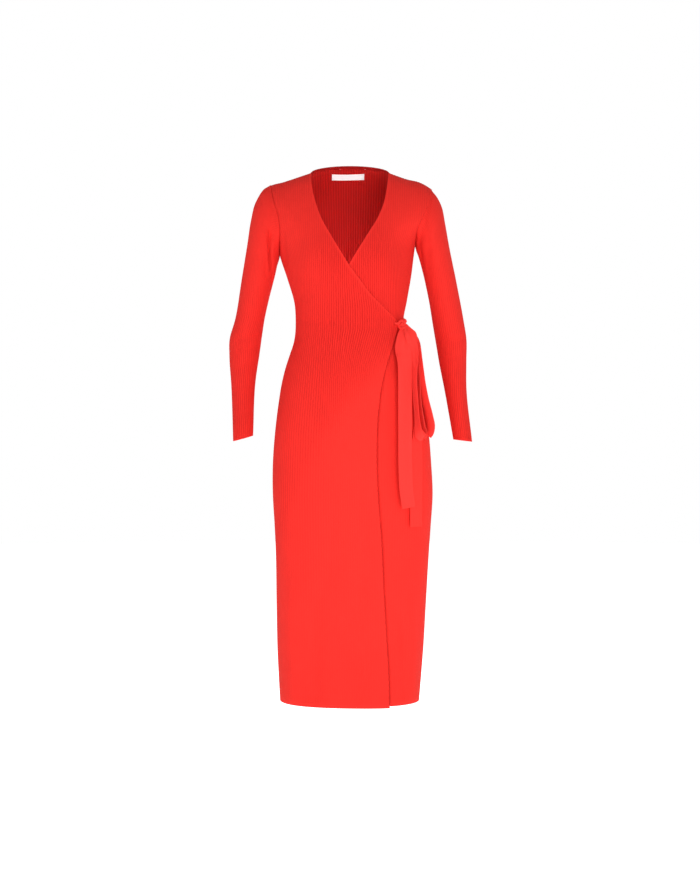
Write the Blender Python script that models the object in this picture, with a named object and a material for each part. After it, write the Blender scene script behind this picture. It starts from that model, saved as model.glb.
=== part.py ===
"""Wrap dress in rib knit, as it stands when worn, with nobody inside.

The cloth is a wall through sections of a general figure: one back, an upper front that crosses over an under front,
two set-in sleeves, a narrow band at the back neck, a blank label, and a tie knotted in a bow at the wearer's left
side. Every piece is its own solid, parted from its neighbour by the seam gap. Ribs are raised on the outside of each
wall, over a plain inside.

Sizes are in millimetres and turned into metres where a mesh is made. +X is the wearer's left, -Y the front and +Z
up. The origin lies between the neck ends of the two shoulder seams, where the wearer's shoulders carry the dress.
"""

import math

import bpy
import numpy as np

MM = 0.001

# Cloth
KNIT = 1.5  # the wall without its ribs
RIB_RISE = 0.7  # how far a rib stands off that wall
SEAM_GAP = 0.3  # air between two pieces that are sewn together
LAYER = KNIT + RIB_RISE + SEAM_GAP + 0.6  # how far the upper front is moved out to lie on the under front
HALF_RIBS = 68  # ribs from side seam to side seam, on the front and on the back
INSIDE_STEP = 4  # the plain inside takes every fourth column of the ribbed outside
SEAM_BLEND = 9.0  # how far in from a seam the cloth turns to meet its neighbour

# Body: the outline below the arms, level by level from the hem up.
BODY = (
    # height, middle_x, half_width, front_depth, back_depth
    (-1133, -0.5, 149.0, 97, 94),
    (-1028, 1.0, 156.0, 98, 97),
    (-925, 3.0, 160.0, 100, 102),
    (-808, 5.5, 164.5, 102, 109),
    (-757, 6.0, 167.5, 103, 115),
    (-692, 6.0, 171.5, 104, 124),
    (-628, 4.5, 170.0, 105, 129),
    (-550, 4.0, 163.5, 105, 124),
    (-499, 2.5, 155.5, 104, 113),
    (-447, 1.5, 145.5, 101, 100),
    (-421, 1.0, 138.0, 98, 94),
    (-395, 0.5, 128.5, 95, 88),
    (-370, 0.5, 119.5, 92, 84),
    (-322, 0.0, 114.5, 89, 80),
    (-279, 1.0, 121.0, 91, 84),
    (-228, -2.0, 133.0, 95, 93),
    (-171, -5.6, 145.4, 95, 100),
)
FULLNESS = 2.3  # 2 is an ellipse, more is squarer
CORNER_ROW = -350  # the tie corner starts here, and the front edges run freely above it
BODY_ROWS = (-1133, -925, -692, -560, -450, -385, CORNER_ROW, -318, -262, -210)

# Bust: two low mounds that the knit bridges, shaped by the cut.
BUST_Z, BUST_OUT, BUST_RISE, BUST_WIDE = -203.0, 74.0, 19.0, 50.0
BUST_ABOVE, BUST_BELOW, BUST_BRIDGE = 58.0, 44.0, 0.62

# Yoke: from the underarms (level 0) up to the shoulder seams (level 1).
YOKE_ROWS = (0.0, 0.3, 0.6, 0.82, 0.93, 1.0)
YOKE = (
    # level, front_mid_z, front_mid_depth, back_mid_z, back_mid_depth, squareness
    (0.0, -171, 95, -171, 100, 2.3),
    (0.3, -122, 84, -116, 100, 2.6),
    (0.6, -70, 66, -64, 94, 3.0),
    (0.82, -32, 44, -24, 82, 3.2),
    (0.93, -12, 24, 4, 66, 3.2),
    (1.0, -2, 0, 22, 50, 3.2),
)
ARMHOLE = (
    # level, right_x, right_z, left_x, left_z, front_reach, back_reach
    (0.0, -151.0, -180, 139.8, -161, 0, 0),
    (0.3, -148.5, -141, 142.5, -132, 44, 46),
    (0.6, -152.5, -101, 157.0, -100, 49, 54),
    (0.82, -163.0, -66, 170.0, -67, 36, 41),
    (0.93, -168.0, -43, 174.0, -46, 19, 22),
    (1.0, -169.5, -31, 175.0, -36, 0, 0),
)

# Neck: the back neck is half an oval, tilted up to the nape.
NECK_HALF, NECK_SIDE_Z, NECK_RISE, NECK_BACK = 84.0, -2.0, 24.5, 50.0
BAND_HEIGHT, BAND_END = 7.0, 2.5

# Front edges, seen from the front: shoulder, V, tie corner, then down the skirt to the hem.
OVER_EDGE = (
    # x, z
    (-84, 0), (-82.5, -30), (-75, -69), (-60, -113), (-39, -152), (-19.5, -186), (0, -217), (18, -240),
    (38, -267), (58, -288), (76.5, -306), (90, -318), (96.5, -327), (97.5, -337), (95.5, -350), (88, -379),
    (77, -416), (66, -462), (59, -514), (56, -597), (59, -690), (66, -781), (71, -892), (77, -993),
    (82, -1083), (83, -1140),
)
UNDER_EDGE = (
    (84, 0), (81, -24), (77.5, -50), (69, -86), (56.5, -115), (39, -144), (23.5, -170), (8, -196),
    (-7, -221), (-26, -245), (-48, -270), (-70, -292), (-86, -312), (-92, -330), (-94, -350), (-98, -400),
    (-108, -500), (-114, -620), (-114, -800), (-110, -1000), (-106, -1140),
)
HEM_DROP = 3.0  # the upper front hangs this much lower at its free corner
HIDDEN_FROM, SINK = 16.0, 1.0  # this far in from the upper front's edge the under front is plain and lies deeper

# Sleeves: each ring runs from a point on the arm's outer side to one on its inner side.
SEGMENT_COLUMNS = 7  # columns to each stretch of the armhole between two yoke rows
RIGHT_SLEEVE = (
    # outer_x, outer_z, inner_x, inner_z, half_depth, middle_y
    (-187.5, -44, -152.5, -188, 51, 1),
    (-203.5, -68, -156.5, -201, 51, 1),
    (-213.0, -105, -160.0, -217, 48, 2),
    (-220.5, -153, -166.0, -240, 45, 4),
    (-233.0, -228, -174.5, -272, 42, 8),
    (-248.0, -317, -185.5, -322, 39, 12),
    (-259.5, -357, -190.0, -352, 38, 13),
    (-260.0, -395, -195.0, -390, 36, 9),
    (-255.0, -458, -202.5, -447, 32, -3),
    (-248.5, -578, -206.0, -566, 28, -33),
)
LEFT_SLEEVE = (
    (187.0, -52, 142.5, -169, 51, 1),
    (198.0, -78, 147.0, -181, 51, 1),
    (204.0, -108, 151.5, -196, 48, 2),
    (213.0, -158, 158.5, -223, 45, 4),
    (229.0, -235, 170.0, -275, 42, 8),
    (245.0, -318, 179.5, -332, 39, 12),
    (251.5, -360, 186.0, -370, 38, 13),
    (251.0, -402, 192.0, -408, 36, 9),
    (250.0, -462, 202.5, -466, 32, -3),
    (259.5, -579, 219.5, -574, 28, -33),
)

# Tie: a flat knit strip, knotted in a bow at the upper front's corner.
TIE_THICK = 1.6
KNOT_CENTRE, KNOT_RADII = (109.2, -56.5, -333.0), (10.6, 8.5, 13.0)
TAIL_FRONT = (
    # x, y, z, turn, width: turn is how far the strip's right edge swings back, in degrees
    (109.3, -58.5, -346.1, 10, 18), (110, -71, -362, 8, 27), (112, -81, -381, 8, 36), (114.5, -87, -402, 20, 35),
    (115.5, -92, -450, 31, 35), (115.5, -97, -500, 31, 35), (115.5, -101, -550, 31, 35), (115.5, -103, -628, 31, 35),
    (117, -103, -680, 31, 35), (119, -102, -717, 31, 35),
)
TAIL_BACK = (
    (110, -54, -346.3, 45, 8), (114, -54, -357, 45, 17), (117, -55, -370, 45, 25), (121, -60, -400, 45, 32), (124, -66, -450, 45, 35),
    (128, -71, -500, 45, 35), (134, -75, -550, 45, 35), (141, -77, -600, 45, 35), (144, -77, -640, 45, 35),
    (143.5, -76, -700, 45, 35), (141.5, -75, -758, 45, 35),
)
LOOP_FRONT = (
    (118.4, -57, -341.0, 68, 10), (126.5, -59.5, -352, 68, 16), (131.5, -60, -368, 68, 21), (133.5, -61, -385, 68, 26),
    (134.5, -62, -405, 68, 29), (136.5, -64, -449, 68, 31), (143, -70, -514, 68, 32), (147, -76, -550, 68, 32),
    (150, -79, -568, 68, 32), (155, -79.5, -575, 68, 32), (159.6, -78.5, -567, 68, 32), (160.5, -76, -545, 68, 32),
    (158, -73, -514, 68, 31), (151, -69, -449, 68, 30), (144, -66, -400, 68, 27), (138.5, -63, -368, 68, 22),
    (131, -60, -345, 68, 16), (120.8, -57, -333, 68, 10),
)
LOOP_BACK = (
    (118.3, -50.5, -328.5, 50, 8), (129, -43, -333, 65, 15), (138.5, -41, -345, 68, 20), (143.5, -40, -362, 68, 24),
    (149, -38, -400, 68, 28), (154.5, -37, -448, 68, 28), (163, -37, -492, 68, 28), (171.5, -37, -531, 68, 28),
    (174, -37, -548, 68, 28), (172, -37, -560, 68, 28), (168, -37, -557, 68, 28), (165, -37, -535, 68, 28),
    (157.5, -35, -492, 68, 28), (148, -34, -448, 68, 27), (139, -35, -400, 68, 23), (132.5, -37, -370, 68, 18),
    (127, -40.5, -353, 68, 13), (117.2, -49.6, -338, 50, 7),
)
SIDE_TIE = (
    # u, height, rise: u runs over the front from the right side seam (0) to the left one (1)
    (0.996, -327, 27), (0.975, -328, 26), (0.95, -329, 23), (0.925, -330, 20), (0.905, -331, 18),
)
LABEL_COLUMNS, LABEL_THICK = 7, 0.5
LABEL_EDGES = ((0.12, 3.2), (0.86, 0.4))  # its lower and upper edge: share of the way up the last facet, stand-off

# Colours, with roughness
KNIT_RED = (0.86, 0.03, 0.02, 1.0)
LABEL_WHITE = (0.9, 0.9, 0.88, 1.0)


def smooth(table, at):
    """A table's other columns at a value of its first column, on a curve with no kink at the rows."""
    rows = np.array(table, float)
    rows = rows[np.argsort(rows[:, 0])]
    keys, values = rows[:, 0], rows[:, 1:]
    slopes = np.gradient(values, keys, axis=0)
    i = int(np.clip(np.searchsorted(keys, at) - 1, 0, len(keys) - 2))
    span = keys[i + 1] - keys[i]
    t = (at - keys[i]) / span
    return (
        (2 * t**3 - 3 * t**2 + 1) * values[i]
        + (t**3 - 2 * t**2 + t) * span * slopes[i]
        + (3 * t**2 - 2 * t**3) * values[i + 1]
        + (t**3 - t**2) * span * slopes[i + 1]
    )


def spaced(points, count):
    """That many points, evenly spaced along the line through these."""
    steps = np.linalg.norm(np.diff(points, axis=0), axis=1)
    along = np.concatenate([[0], np.cumsum(steps)])
    at = np.linspace(0, along[-1], count)
    return np.stack([np.interp(at, along, points[:, k]) for k in range(3)], axis=1)


def unit(v):
    return v / np.linalg.norm(v, axis=-1, keepdims=True)


def edge_x(edge, z):
    """Where a front edge lies at height z."""
    table = np.array(sorted(edge, key=lambda p: p[1]), float)
    return np.interp(z, table[:, 1], table[:, 0])


# ---------------------------------------------------------------- the body's surface
ACROSS = np.sin(np.linspace(-math.pi / 2, math.pi / 2, 241))  # from the right side seam (-1) to the left one (1)


def bust(x, z):
    """How far the bust carries the front forward at x and z."""
    reach = np.where(z > BUST_Z, BUST_ABOVE, BUST_BELOW)
    side = np.exp(-(((np.abs(x) - BUST_OUT) / BUST_WIDE) ** 2))
    bridged = np.where(np.abs(x) < BUST_OUT, np.maximum(side, BUST_BRIDGE), side)
    return BUST_RISE * bridged * np.exp(-(((z - BUST_Z) / reach) ** 2))


def body_line(z, facing):
    """The level line from side seam to side seam at height z: facing is -1 for the front and 1 for the back."""
    middle, half, front, back = smooth(BODY, z)
    depth = front if facing < 0 else back
    x = middle + half * ACROSS
    y = facing * depth * (1 - np.abs(ACROSS) ** FULLNESS) ** (1 / FULLNESS)
    if facing < 0:
        y -= bust(x - middle, z) * (1 - ACROSS**4)
    return np.stack([x, y, np.full_like(x, z)], axis=1)


def armhole(level, side, facing):
    """The armhole's point at a yoke level: side is -1 for the wearer's right arm."""
    right_x, right_z, left_x, left_z, front, back = smooth(ARMHOLE, level)
    x, z = (right_x, right_z) if side < 0 else (left_x, left_z)
    return np.array([x, facing * (front if facing < 0 else back), z])


def top_line(facing):
    """The shoulder seams, with the back neck between them."""
    start, end = armhole(1.0, -1, facing), armhole(1.0, 1, facing)
    x = start[0] + (end[0] - start[0]) * (ACROSS + 1) / 2
    tip = np.where(x < 0, start[0], end[0])
    tip_z = np.where(x < 0, start[2], end[2])
    out = np.clip((np.abs(x) - NECK_HALF) / (np.abs(tip) - NECK_HALF), 0, 1)
    z = NECK_SIDE_Z + (tip_z - NECK_SIDE_Z) * out
    y = np.zeros_like(x)
    if facing > 0:
        arch = np.sqrt(np.clip(1 - (x / NECK_HALF) ** 2, 0, None))
        y += NECK_BACK * arch
        z += NECK_RISE * arch
    return np.stack([x, y, z], axis=1)


def yoke_line(level, facing):
    """The line from armhole to armhole at a yoke level."""
    if level == 1.0:
        return top_line(facing)
    front_z, front_deep, back_z, back_deep, square = smooth(YOKE, level)
    mid_z, deep = (front_z, front_deep) if facing < 0 else (back_z, back_deep)
    start, end = armhole(level, -1, facing), armhole(level, 1, facing)
    x = start[0] + (end[0] - start[0]) * (ACROSS + 1) / 2
    bulge = (1 - np.abs(ACROSS) ** square) ** (1 / square)
    side = np.where(ACROSS < 0, start[1], end[1])
    y = side + (facing * deep - side) * bulge
    z = mid_z + (np.where(ACROSS < 0, start[2], end[2]) - mid_z) * np.abs(ACROSS) ** 1.8
    if facing < 0:
        y -= bust(x, z) * (1 - ACROSS**4)
    return np.stack([x, y, z], axis=1)


def armhole_ring(side):
    """The armhole as a closed line: underarm, up the front, down the back. With outward normals in its own plane."""
    front = [armhole(level, side, -1) for level in YOKE_ROWS]
    back = [armhole(level, side, 1) for level in YOKE_ROWS[-2:0:-1]]
    ring = np.array(front + back)
    up = unit(ring[len(YOKE_ROWS) - 1] - ring[0])
    along = np.roll(ring, -1, axis=0) - np.roll(ring, 1, axis=0)
    normals = (along @ up)[:, None] * np.array([0, -1, 0]) + along[:, 1][:, None] * up
    axis = np.cross(np.array([0, 1, 0]), up)
    return ring, unit(normals), axis * np.sign(axis[0]) * side


class Surface:
    """The front or the back as row lines with normals, read anywhere by row key and by u from seam to seam.

    A row's key is its height on the body. From the underarms up it is the underarm height plus the yoke level times
    the yoke's height, so that keys rise all the way.
    """

    YOKE_KEY, YOKE_SPAN = -171.0, 170.0

    def __init__(self, facing):
        self.facing = facing
        lines = [body_line(z, facing) for z in BODY_ROWS] + [yoke_line(level, facing) for level in YOKE_ROWS]
        self.points = np.array(lines)
        self.keys = np.array(list(BODY_ROWS) + [self.YOKE_KEY + self.YOKE_SPAN * level for level in YOKE_ROWS])
        self.normals = self.turned_normals()
        steps = np.linalg.norm(np.diff(self.points, axis=1), axis=2)
        run = np.concatenate([np.zeros((len(lines), 1)), np.cumsum(steps, axis=1)], axis=1)
        self.length = run[:, -1]
        self.share = run / run[:, -1:]

    def turned_normals(self):
        points = self.points
        normals = unit(np.cross(np.gradient(points, axis=1), np.gradient(points, axis=0))) * -self.facing
        bodies = len(BODY_ROWS)
        for column, side in ((0, -1), (-1, 1)):
            seam = normals[:, column].copy()
            seam[:bodies] = unit(np.stack([np.full(bodies, side), np.zeros(bodies), seam[:bodies, 2] * 0], axis=1))
            _, ring, _ = armhole_ring(side)
            rows = range(len(YOKE_ROWS))
            seam[bodies:] = ring[[k if self.facing < 0 else -k % len(ring) for k in rows]]
            away = np.linalg.norm(points - points[:, column][:, None], axis=2)
            weight = np.exp(-((away / SEAM_BLEND) ** 2))[..., None]
            normals = unit(weight * seam[:, None] + (1 - weight) * normals)
        top = points[-1]
        shoulder = (np.abs(top[:, 0]) >= NECK_HALF - 3) | (self.facing < 0)
        normals[-1, shoulder] = unit(normals[-1, shoulder] * np.array([1, 0, 1]) + np.array([0, 0, 1e-3]))
        return normals

    def place(self, row, u):
        """Where u lies along a row, as a share of the row's own arc or, higher in the yoke, of its width."""
        level = YOKE_ROWS[row - len(BODY_ROWS)] if row >= len(BODY_ROWS) else 0.0
        even = float(np.clip((level - 0.3) / 0.6, 0, 1))
        return (1 - even) * np.interp(u, self.share[row], ACROSS) + even * (2 * u - 1)

    def on_row(self, row, u):
        t = self.place(row, u)
        point = np.array([np.interp(t, ACROSS, self.points[row, :, k]) for k in range(3)])
        normal = np.array([np.interp(t, ACROSS, self.normals[row, :, k]) for k in range(3)])
        point[1] = self.facing * max(self.facing * point[1], SEAM_GAP / 2)
        return point, unit(normal)

    def at(self, key, u_of_row):
        """Point and normal at a row key, on the flat facets between two rows. u_of_row gives u on each row."""
        row = int(np.clip(np.searchsorted(self.keys, key, side="right") - 1, 0, len(self.keys) - 2))
        share = (key - self.keys[row]) / (self.keys[row + 1] - self.keys[row])
        low, low_normal = self.on_row(row, u_of_row(row))
        high, high_normal = self.on_row(row + 1, u_of_row(row + 1))
        return low + (high - low) * share, unit(low_normal + (high_normal - low_normal) * share)

    def u_at_x(self, row, x):
        """The u of the place on a body row that lies at x."""
        t = np.interp(x, self.points[row, :, 0], ACROSS)
        return float(np.interp(t, ACROSS, self.share[row]))


# ---------------------------------------------------------------- solids
def material(name, colour, roughness):
    made = bpy.data.materials.new(name)
    made.use_nodes = True
    shader = made.node_tree.nodes["Principled BSDF"]
    shader.inputs["Base Color"].default_value = colour
    shader.inputs["Roughness"].default_value = roughness
    shader.inputs["Metallic"].default_value = 0.0
    return made


def zipped(left, left_keys, right, right_keys):
    """Triangles between two lines of points that run the same way, whatever the number of points on each."""
    faces, i, j = [], 0, 0
    while i < len(left) - 1 or j < len(right) - 1:
        step_left = j == len(right) - 1 or (i < len(left) - 1 and left_keys[i + 1] <= right_keys[j + 1])
        if step_left:
            faces.append((left[i], right[j], left[i + 1]))
            i += 1
        else:
            faces.append((left[i], right[j], right[j + 1]))
            j += 1
    return faces


def solid(name, points, faces, finish):
    mesh = bpy.data.meshes.new(name)
    mesh.from_pydata([tuple(p) for p in np.asarray(points, float) * MM], [], faces)
    mesh.materials.append(finish)
    mesh.shade_smooth()
    mesh.set_sharp_from_angle(angle=math.radians(50))
    made = bpy.data.objects.new(name, mesh)
    bpy.context.scene.collection.objects.link(made)
    return made


def wall(name, outer, inner, finish, tube=False):
    """A closed solid between outer and inner columns, which run up and are listed from left to right, seen from
    outside. A column is (place, keys, points). A tube's last column meets its first."""
    points, sheets = [], []
    for columns in (outer, inner):
        sheet = []
        for place, keys, column in columns:
            first = len(points)
            points.extend(column)
            sheet.append((place, list(keys), list(range(first, len(points)))))
        if tube:
            sheet.append((sheet[0][0] + 1.0, sheet[0][1], sheet[0][2]))
        sheets.append(sheet)
    out, into = sheets
    faces = []
    for a, b in zip(out, out[1:]):
        faces += zipped(a[2], a[1], b[2], b[1])
    for a, b in zip(into, into[1:]):
        faces += [face[::-1] for face in zipped(a[2], a[1], b[2], b[1])]
    ends = [[(c[0], c[2][end]) for c in sheet] for end in (0, -1) for sheet in (out, into)]
    low_out, low_in, high_out, high_in = [([p[1] for p in e], [p[0] for p in e]) for e in ends]
    faces += zipped(*low_out, *low_in) + zipped(*high_in, *high_out)
    if not tube:
        faces += zipped(into[0][2], into[0][1], out[0][2], out[0][1])
        faces += zipped(out[-1][2], out[-1][1], into[-1][2], into[-1][1])
    return solid(name, points, faces, finish)


# ---------------------------------------------------------------- the back, with its neck band and label
class Back:
    """Columns shared by the back, the band and the label, numbered from the right side seam to the left one."""

    def __init__(self, surface):
        self.surface = surface
        self.count = 2 * HALF_RIBS + 1
        self.top = len(surface.keys) - 1
        neck = [k for k in range(self.count) if abs(self.on_row(self.top, k)[0][0]) < NECK_HALF]
        self.neck = range(neck[0], neck[-1] + 1)
        self.inside = sorted(set(range(0, self.count, INSIDE_STEP)) | {neck[0], neck[-1]})

    def on_row(self, row, k):
        return self.surface.on_row(row, k / (self.count - 1))

    def band_height(self, k):
        """How far below the neck edge the band's seam runs."""
        if k not in self.neck:
            return 0.0
        x = self.on_row(self.top, k)[0][0]
        return BAND_END + (BAND_HEIGHT - BAND_END) * math.sqrt(1 - (x / NECK_HALF) ** 2)

    def lowered(self, k, height):
        """The neck edge's point, moved down the back by height."""
        point, normal = self.on_row(self.top, k)
        below, _ = self.on_row(self.top - 1, k)
        return point + unit(below - point) * height, normal


def make_back(back, finish):
    def columns(chosen, out):
        made = []
        for k in reversed(chosen):
            rows = [back.on_row(row, k) for row in range(back.top)] + [back.lowered(k, back.band_height(k))]
            made.append((-k, back.surface.keys, [point + normal * out(k) for point, normal in rows]))
        return made

    outer = columns(range(back.count), lambda k: 0.0 if k % 2 else -RIB_RISE)
    wall("back", outer, columns(back.inside, lambda k: -KNIT - RIB_RISE), finish)


def make_band(back, finish):
    """The narrow strip over the back neck, between its seam and the neck edge."""

    def columns(chosen, out):
        made = []
        for k in reversed(chosen):
            low, normal = back.lowered(k, back.band_height(k) - SEAM_GAP - 0.05)
            high, _ = back.lowered(k, 0)
            made.append((-k, [0, 1], [low + normal * out, high + normal * out]))
        return made

    inside = [k for k in back.inside if k in back.neck]
    wall("neck_band", columns(back.neck, 0.0), columns(inside, -KNIT - RIB_RISE), finish)


def make_label(back, finish):
    """A blank strip on the inside of the back, below the band. Its columns are those of the back's plain inside."""
    middle = min(back.inside, key=lambda k: abs(back.on_row(back.top, k)[0][0]))
    first = back.inside.index(middle) - LABEL_COLUMNS // 2
    outer, inner = [], []
    for k in reversed(back.inside[first : first + LABEL_COLUMNS + 1]):
        high, normal = back.lowered(k, back.band_height(k))
        low, low_normal = back.on_row(back.top - 1, k)
        for columns, deep in ((outer, 0.0), (inner, LABEL_THICK)):
            points = []
            for share, off in LABEL_EDGES:
                turned = unit(low_normal + (normal - low_normal) * share)
                points.append(low + (high - low) * share - turned * (KNIT + RIB_RISE + off + deep))
            columns.append((-k, [0, 1], points))
    wall("label", outer, inner, finish)


# ---------------------------------------------------------------- the two fronts
def front_columns(surface, side, us, offset):
    """Columns of a front at places us, up to its edge or the shoulder seam. offset(point, key, u) is how far each
    point is moved out. us run from the piece's own side seam (0) to its edge."""
    edge = OVER_EDGE if side < 0 else UNDER_EDGE
    corner = BODY_ROWS.index(CORNER_ROW)

    def whole(u):
        return u if side < 0 else 1 - u

    edge_u = [whole(surface.u_at_x(row, edge_x(edge, z))) for row, z in enumerate(BODY_ROWS)]

    def u_on(u):
        def on(row):
            return whole(u * edge_u[row] / edge_u[corner]) if row <= corner else whole(u)

        return on

    columns = []
    for u in us:
        keys = np.linspace(CORNER_ROW + 4, surface.keys[-1], 300)
        track = np.array([surface.at(key, u_on(u))[0] for key in keys])
        room = (edge_x(edge, track[:, 2]) - track[:, 0]) * -side
        beyond = np.nonzero(room < 0)[0]
        beyond = beyond[beyond > 12]
        top = keys[beyond[0]] if len(beyond) else surface.keys[-1]
        kept = [key for key in surface.keys if key < top - 3.0] + [top]
        points = []
        for key in kept:
            point, normal = surface.at(key, u_on(u))
            points.append(point + normal * offset(point, key, u))
        columns.append((u, kept, points))
    if side > 0:
        columns = [(-place, keys, points) for place, keys, points in columns[::-1]]
    return columns


def corner_u(surface, side):
    edge = OVER_EDGE if side < 0 else UNDER_EDGE
    u = surface.u_at_x(BODY_ROWS.index(CORNER_ROW), edge_x(edge, CORNER_ROW))
    return u if side < 0 else 1 - u


def lapped(point):
    """1 where the upper front lies on the under front, easing to 0 beside it."""
    past = point[0] - edge_x(UNDER_EDGE, point[2])
    share = np.clip((past + 16) / 12, 0, 1)
    return share * share * (3 - 2 * share)


def make_over(surface, finish):
    ribs = round(corner_u(surface, -1) * HALF_RIBS / 2) * 2
    us = np.linspace(0, corner_u(surface, -1), 2 * ribs + 1)
    tops = {u: (0.0 if k % 2 else -RIB_RISE) for k, u in enumerate(us)}

    def lift(point, key, u):
        return LAYER * lapped(point)

    outer = front_columns(surface, -1, us, lambda p, key, u: lift(p, key, u) + tops[u])
    inner = front_columns(surface, -1, us[::INSIDE_STEP], lambda p, key, u: lift(p, key, u) - KNIT - RIB_RISE)
    for columns in (outer, inner):
        for u, _, points in columns:
            points[0] = points[0] - np.array([0, 0, HEM_DROP]) * (u / us[-1]) ** 2
    wall("front_over", outer, inner, finish)


def make_under(surface, finish):
    """Ribbed where it shows, and plain with fewer columns where the upper front covers it."""
    last = corner_u(surface, 1)
    ribs = round(last * HALF_RIBS / 2) * 2
    us = np.linspace(0, last, 2 * ribs + 1)
    shown = int(len(us) * 0.60) // INSIDE_STEP * INSIDE_STEP
    kept = np.concatenate([us[:shown], us[shown::INSIDE_STEP]])
    tops = {u: (0.0 if k % 2 and k < shown else -RIB_RISE) for k, u in enumerate(us)}

    def covered(point):
        return (edge_x(OVER_EDGE, point[2]) - point[0]) / HIDDEN_FROM if point[2] < -210 else 0.0

    def sunk(point):
        return -SINK * float(np.clip(covered(point), 0, 1))

    def top(point, key, u):
        return sunk(point) + (-RIB_RISE if covered(point) > 1 else tops[u])

    outer = front_columns(surface, 1, kept, top)
    inner = front_columns(surface, 1, us[::INSIDE_STEP], lambda p, key, u: sunk(p) - KNIT - RIB_RISE)
    wall("front_under", outer, inner, finish)


# ---------------------------------------------------------------- sleeves
def sleeve_ring(row, side, count):
    """A ring round the arm that starts at the underarm and runs up the front."""
    outer_x, outer_z, inner_x, inner_z, deep, middle_y = row
    outside = np.array([outer_x, middle_y, outer_z])
    inside = np.array([inner_x, middle_y, inner_z])
    angle = np.linspace(0, 2 * math.pi, 361)[:, None]
    middle = (outside + inside) / 2
    ring = middle + (inside - middle) * np.cos(angle) + np.array([0, -deep, 0]) * np.sin(angle)
    return spaced(ring, count + 1)[:-1]


def make_sleeve(name, table, side, finish):
    corners, corner_normals, axis = armhole_ring(side)
    first, normals = [], []
    for k in range(len(corners)):
        following = (k + 1) % len(corners)
        for step in range(SEGMENT_COLUMNS):
            share = step / SEGMENT_COLUMNS
            first.append(corners[k] + (corners[following] - corners[k]) * share)
            normals.append(corner_normals[k] + (corner_normals[following] - corner_normals[k]) * share)
    first = np.array(first) + axis * (SEAM_GAP + 0.1)
    count = len(first)
    rings = np.array([first] + [sleeve_ring(row, side, count) for row in table])
    around = np.roll(rings, -1, axis=1) - np.roll(rings, 1, axis=1)
    down = np.gradient(rings, axis=0)
    outward = unit(np.cross(around, down))
    middle = rings.mean(axis=1, keepdims=True)
    outward *= np.sign(np.sum(outward * (rings - middle), axis=2, keepdims=True))
    outward[0] = unit(np.array(normals))
    rise = np.where(np.arange(count) % 2, 0.0, -RIB_RISE)[None, :, None]
    outside = rings + outward * rise
    inside = rings - outward * (KNIT + RIB_RISE)
    keys = list(range(len(rings)))
    order = range(count) if side > 0 else range(0, -count, -1)

    def columns(grid, step):
        chosen = [k % count for k in order][::step]
        return [(i * step / count, keys, list(grid[::-1, k])) for i, k in enumerate(chosen)]

    wall(name, columns(outside, 1), columns(inside, SEGMENT_COLUMNS // 2 or 1), finish, tube=True)


# ---------------------------------------------------------------- the tie
def strip(name, spine, turns, widths, finish, thick=TIE_THICK, along=None):
    """A flat strip along spine. A turn is the direction of its width."""
    spine = np.array(spine, float)
    across = unit(np.array(turns, float))
    if along is None:
        along = unit(np.gradient(spine, axis=0))
    across = unit(across - along * np.sum(across * along, axis=1, keepdims=True))
    flat = np.cross(along, across)
    half = np.array(widths, float)[:, None] / 2
    corners = [
        spine + across * half * a + flat * thick / 2 * b for a, b in ((-1, -1), (1, -1), (1, 1), (-1, 1))
    ]
    points = np.array(corners).transpose(1, 0, 2).reshape(-1, 3)
    faces = [(3, 2, 1, 0), tuple(len(points) - 4 + k for k in range(4))]
    for k in range(len(spine) - 1):
        for c in range(4):
            n = (c + 1) % 4
            faces.append((4 * k + c, 4 * k + n, 4 * k + 4 + n, 4 * k + 4 + c))
    made = solid(name, points, faces, finish)
    return made


def hung(name, table, finish, steps):
    """A strip through a table of places, each with its turn and width."""
    table = np.array(table, float)
    reach = np.concatenate([[0], np.cumsum(np.linalg.norm(np.diff(table[:, :3], axis=0), axis=1))])
    keyed = np.column_stack([reach, table])
    places = np.linspace(0, reach[-1], steps)
    rows = np.array([smooth(keyed, at) for at in places])
    ahead = np.array([smooth(keyed, min(at + 1.0, reach[-1])) - smooth(keyed, max(at - 1.0, 0.0)) for at in places])
    turns = [(math.cos(math.radians(a)), math.sin(math.radians(a)), 0) for a in rows[:, 3]]
    return strip(name, rows[:, :3], turns, rows[:, 4], finish, along=unit(ahead[:, :3]))


def make_side_tie(surface, finish):
    places = [surface.at(z, lambda row, u=u: u) for u, z, _ in SIDE_TIE]
    spine = [point + normal * (TIE_THICK / 2 + 0.8) for point, normal in places]
    strip("tie_side", spine, [(0, 0, 1)] * len(spine), [row[2] for row in SIDE_TIE], finish)


def make_knot(finish):
    """A rounded lump, a little squarer than a ball."""
    rings, count = 7, 14
    points = [(0, 0, -1)]
    for k in range(1, rings):
        tilt = math.pi * k / rings
        for c in range(count):
            turn = 2 * math.pi * c / count
            points.append((math.sin(tilt) * math.cos(turn), math.sin(tilt) * math.sin(turn), -math.cos(tilt)))
    points.append((0, 0, 1))
    last = len(points) - 1
    faces = [(0, 1 + (c + 1) % count, 1 + c) for c in range(count)]
    for k in range(rings - 2):
        base = 1 + k * count
        for c in range(count):
            n = (c + 1) % count
            faces.append((base + c, base + n, base + count + n, base + count + c))
    base = 1 + (rings - 2) * count
    faces += [(base + c, base + (c + 1) % count, last) for c in range(count)]
    solid("knot", np.array(points) * np.array(KNOT_RADII) + np.array(KNOT_CENTRE), faces, finish)


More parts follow.
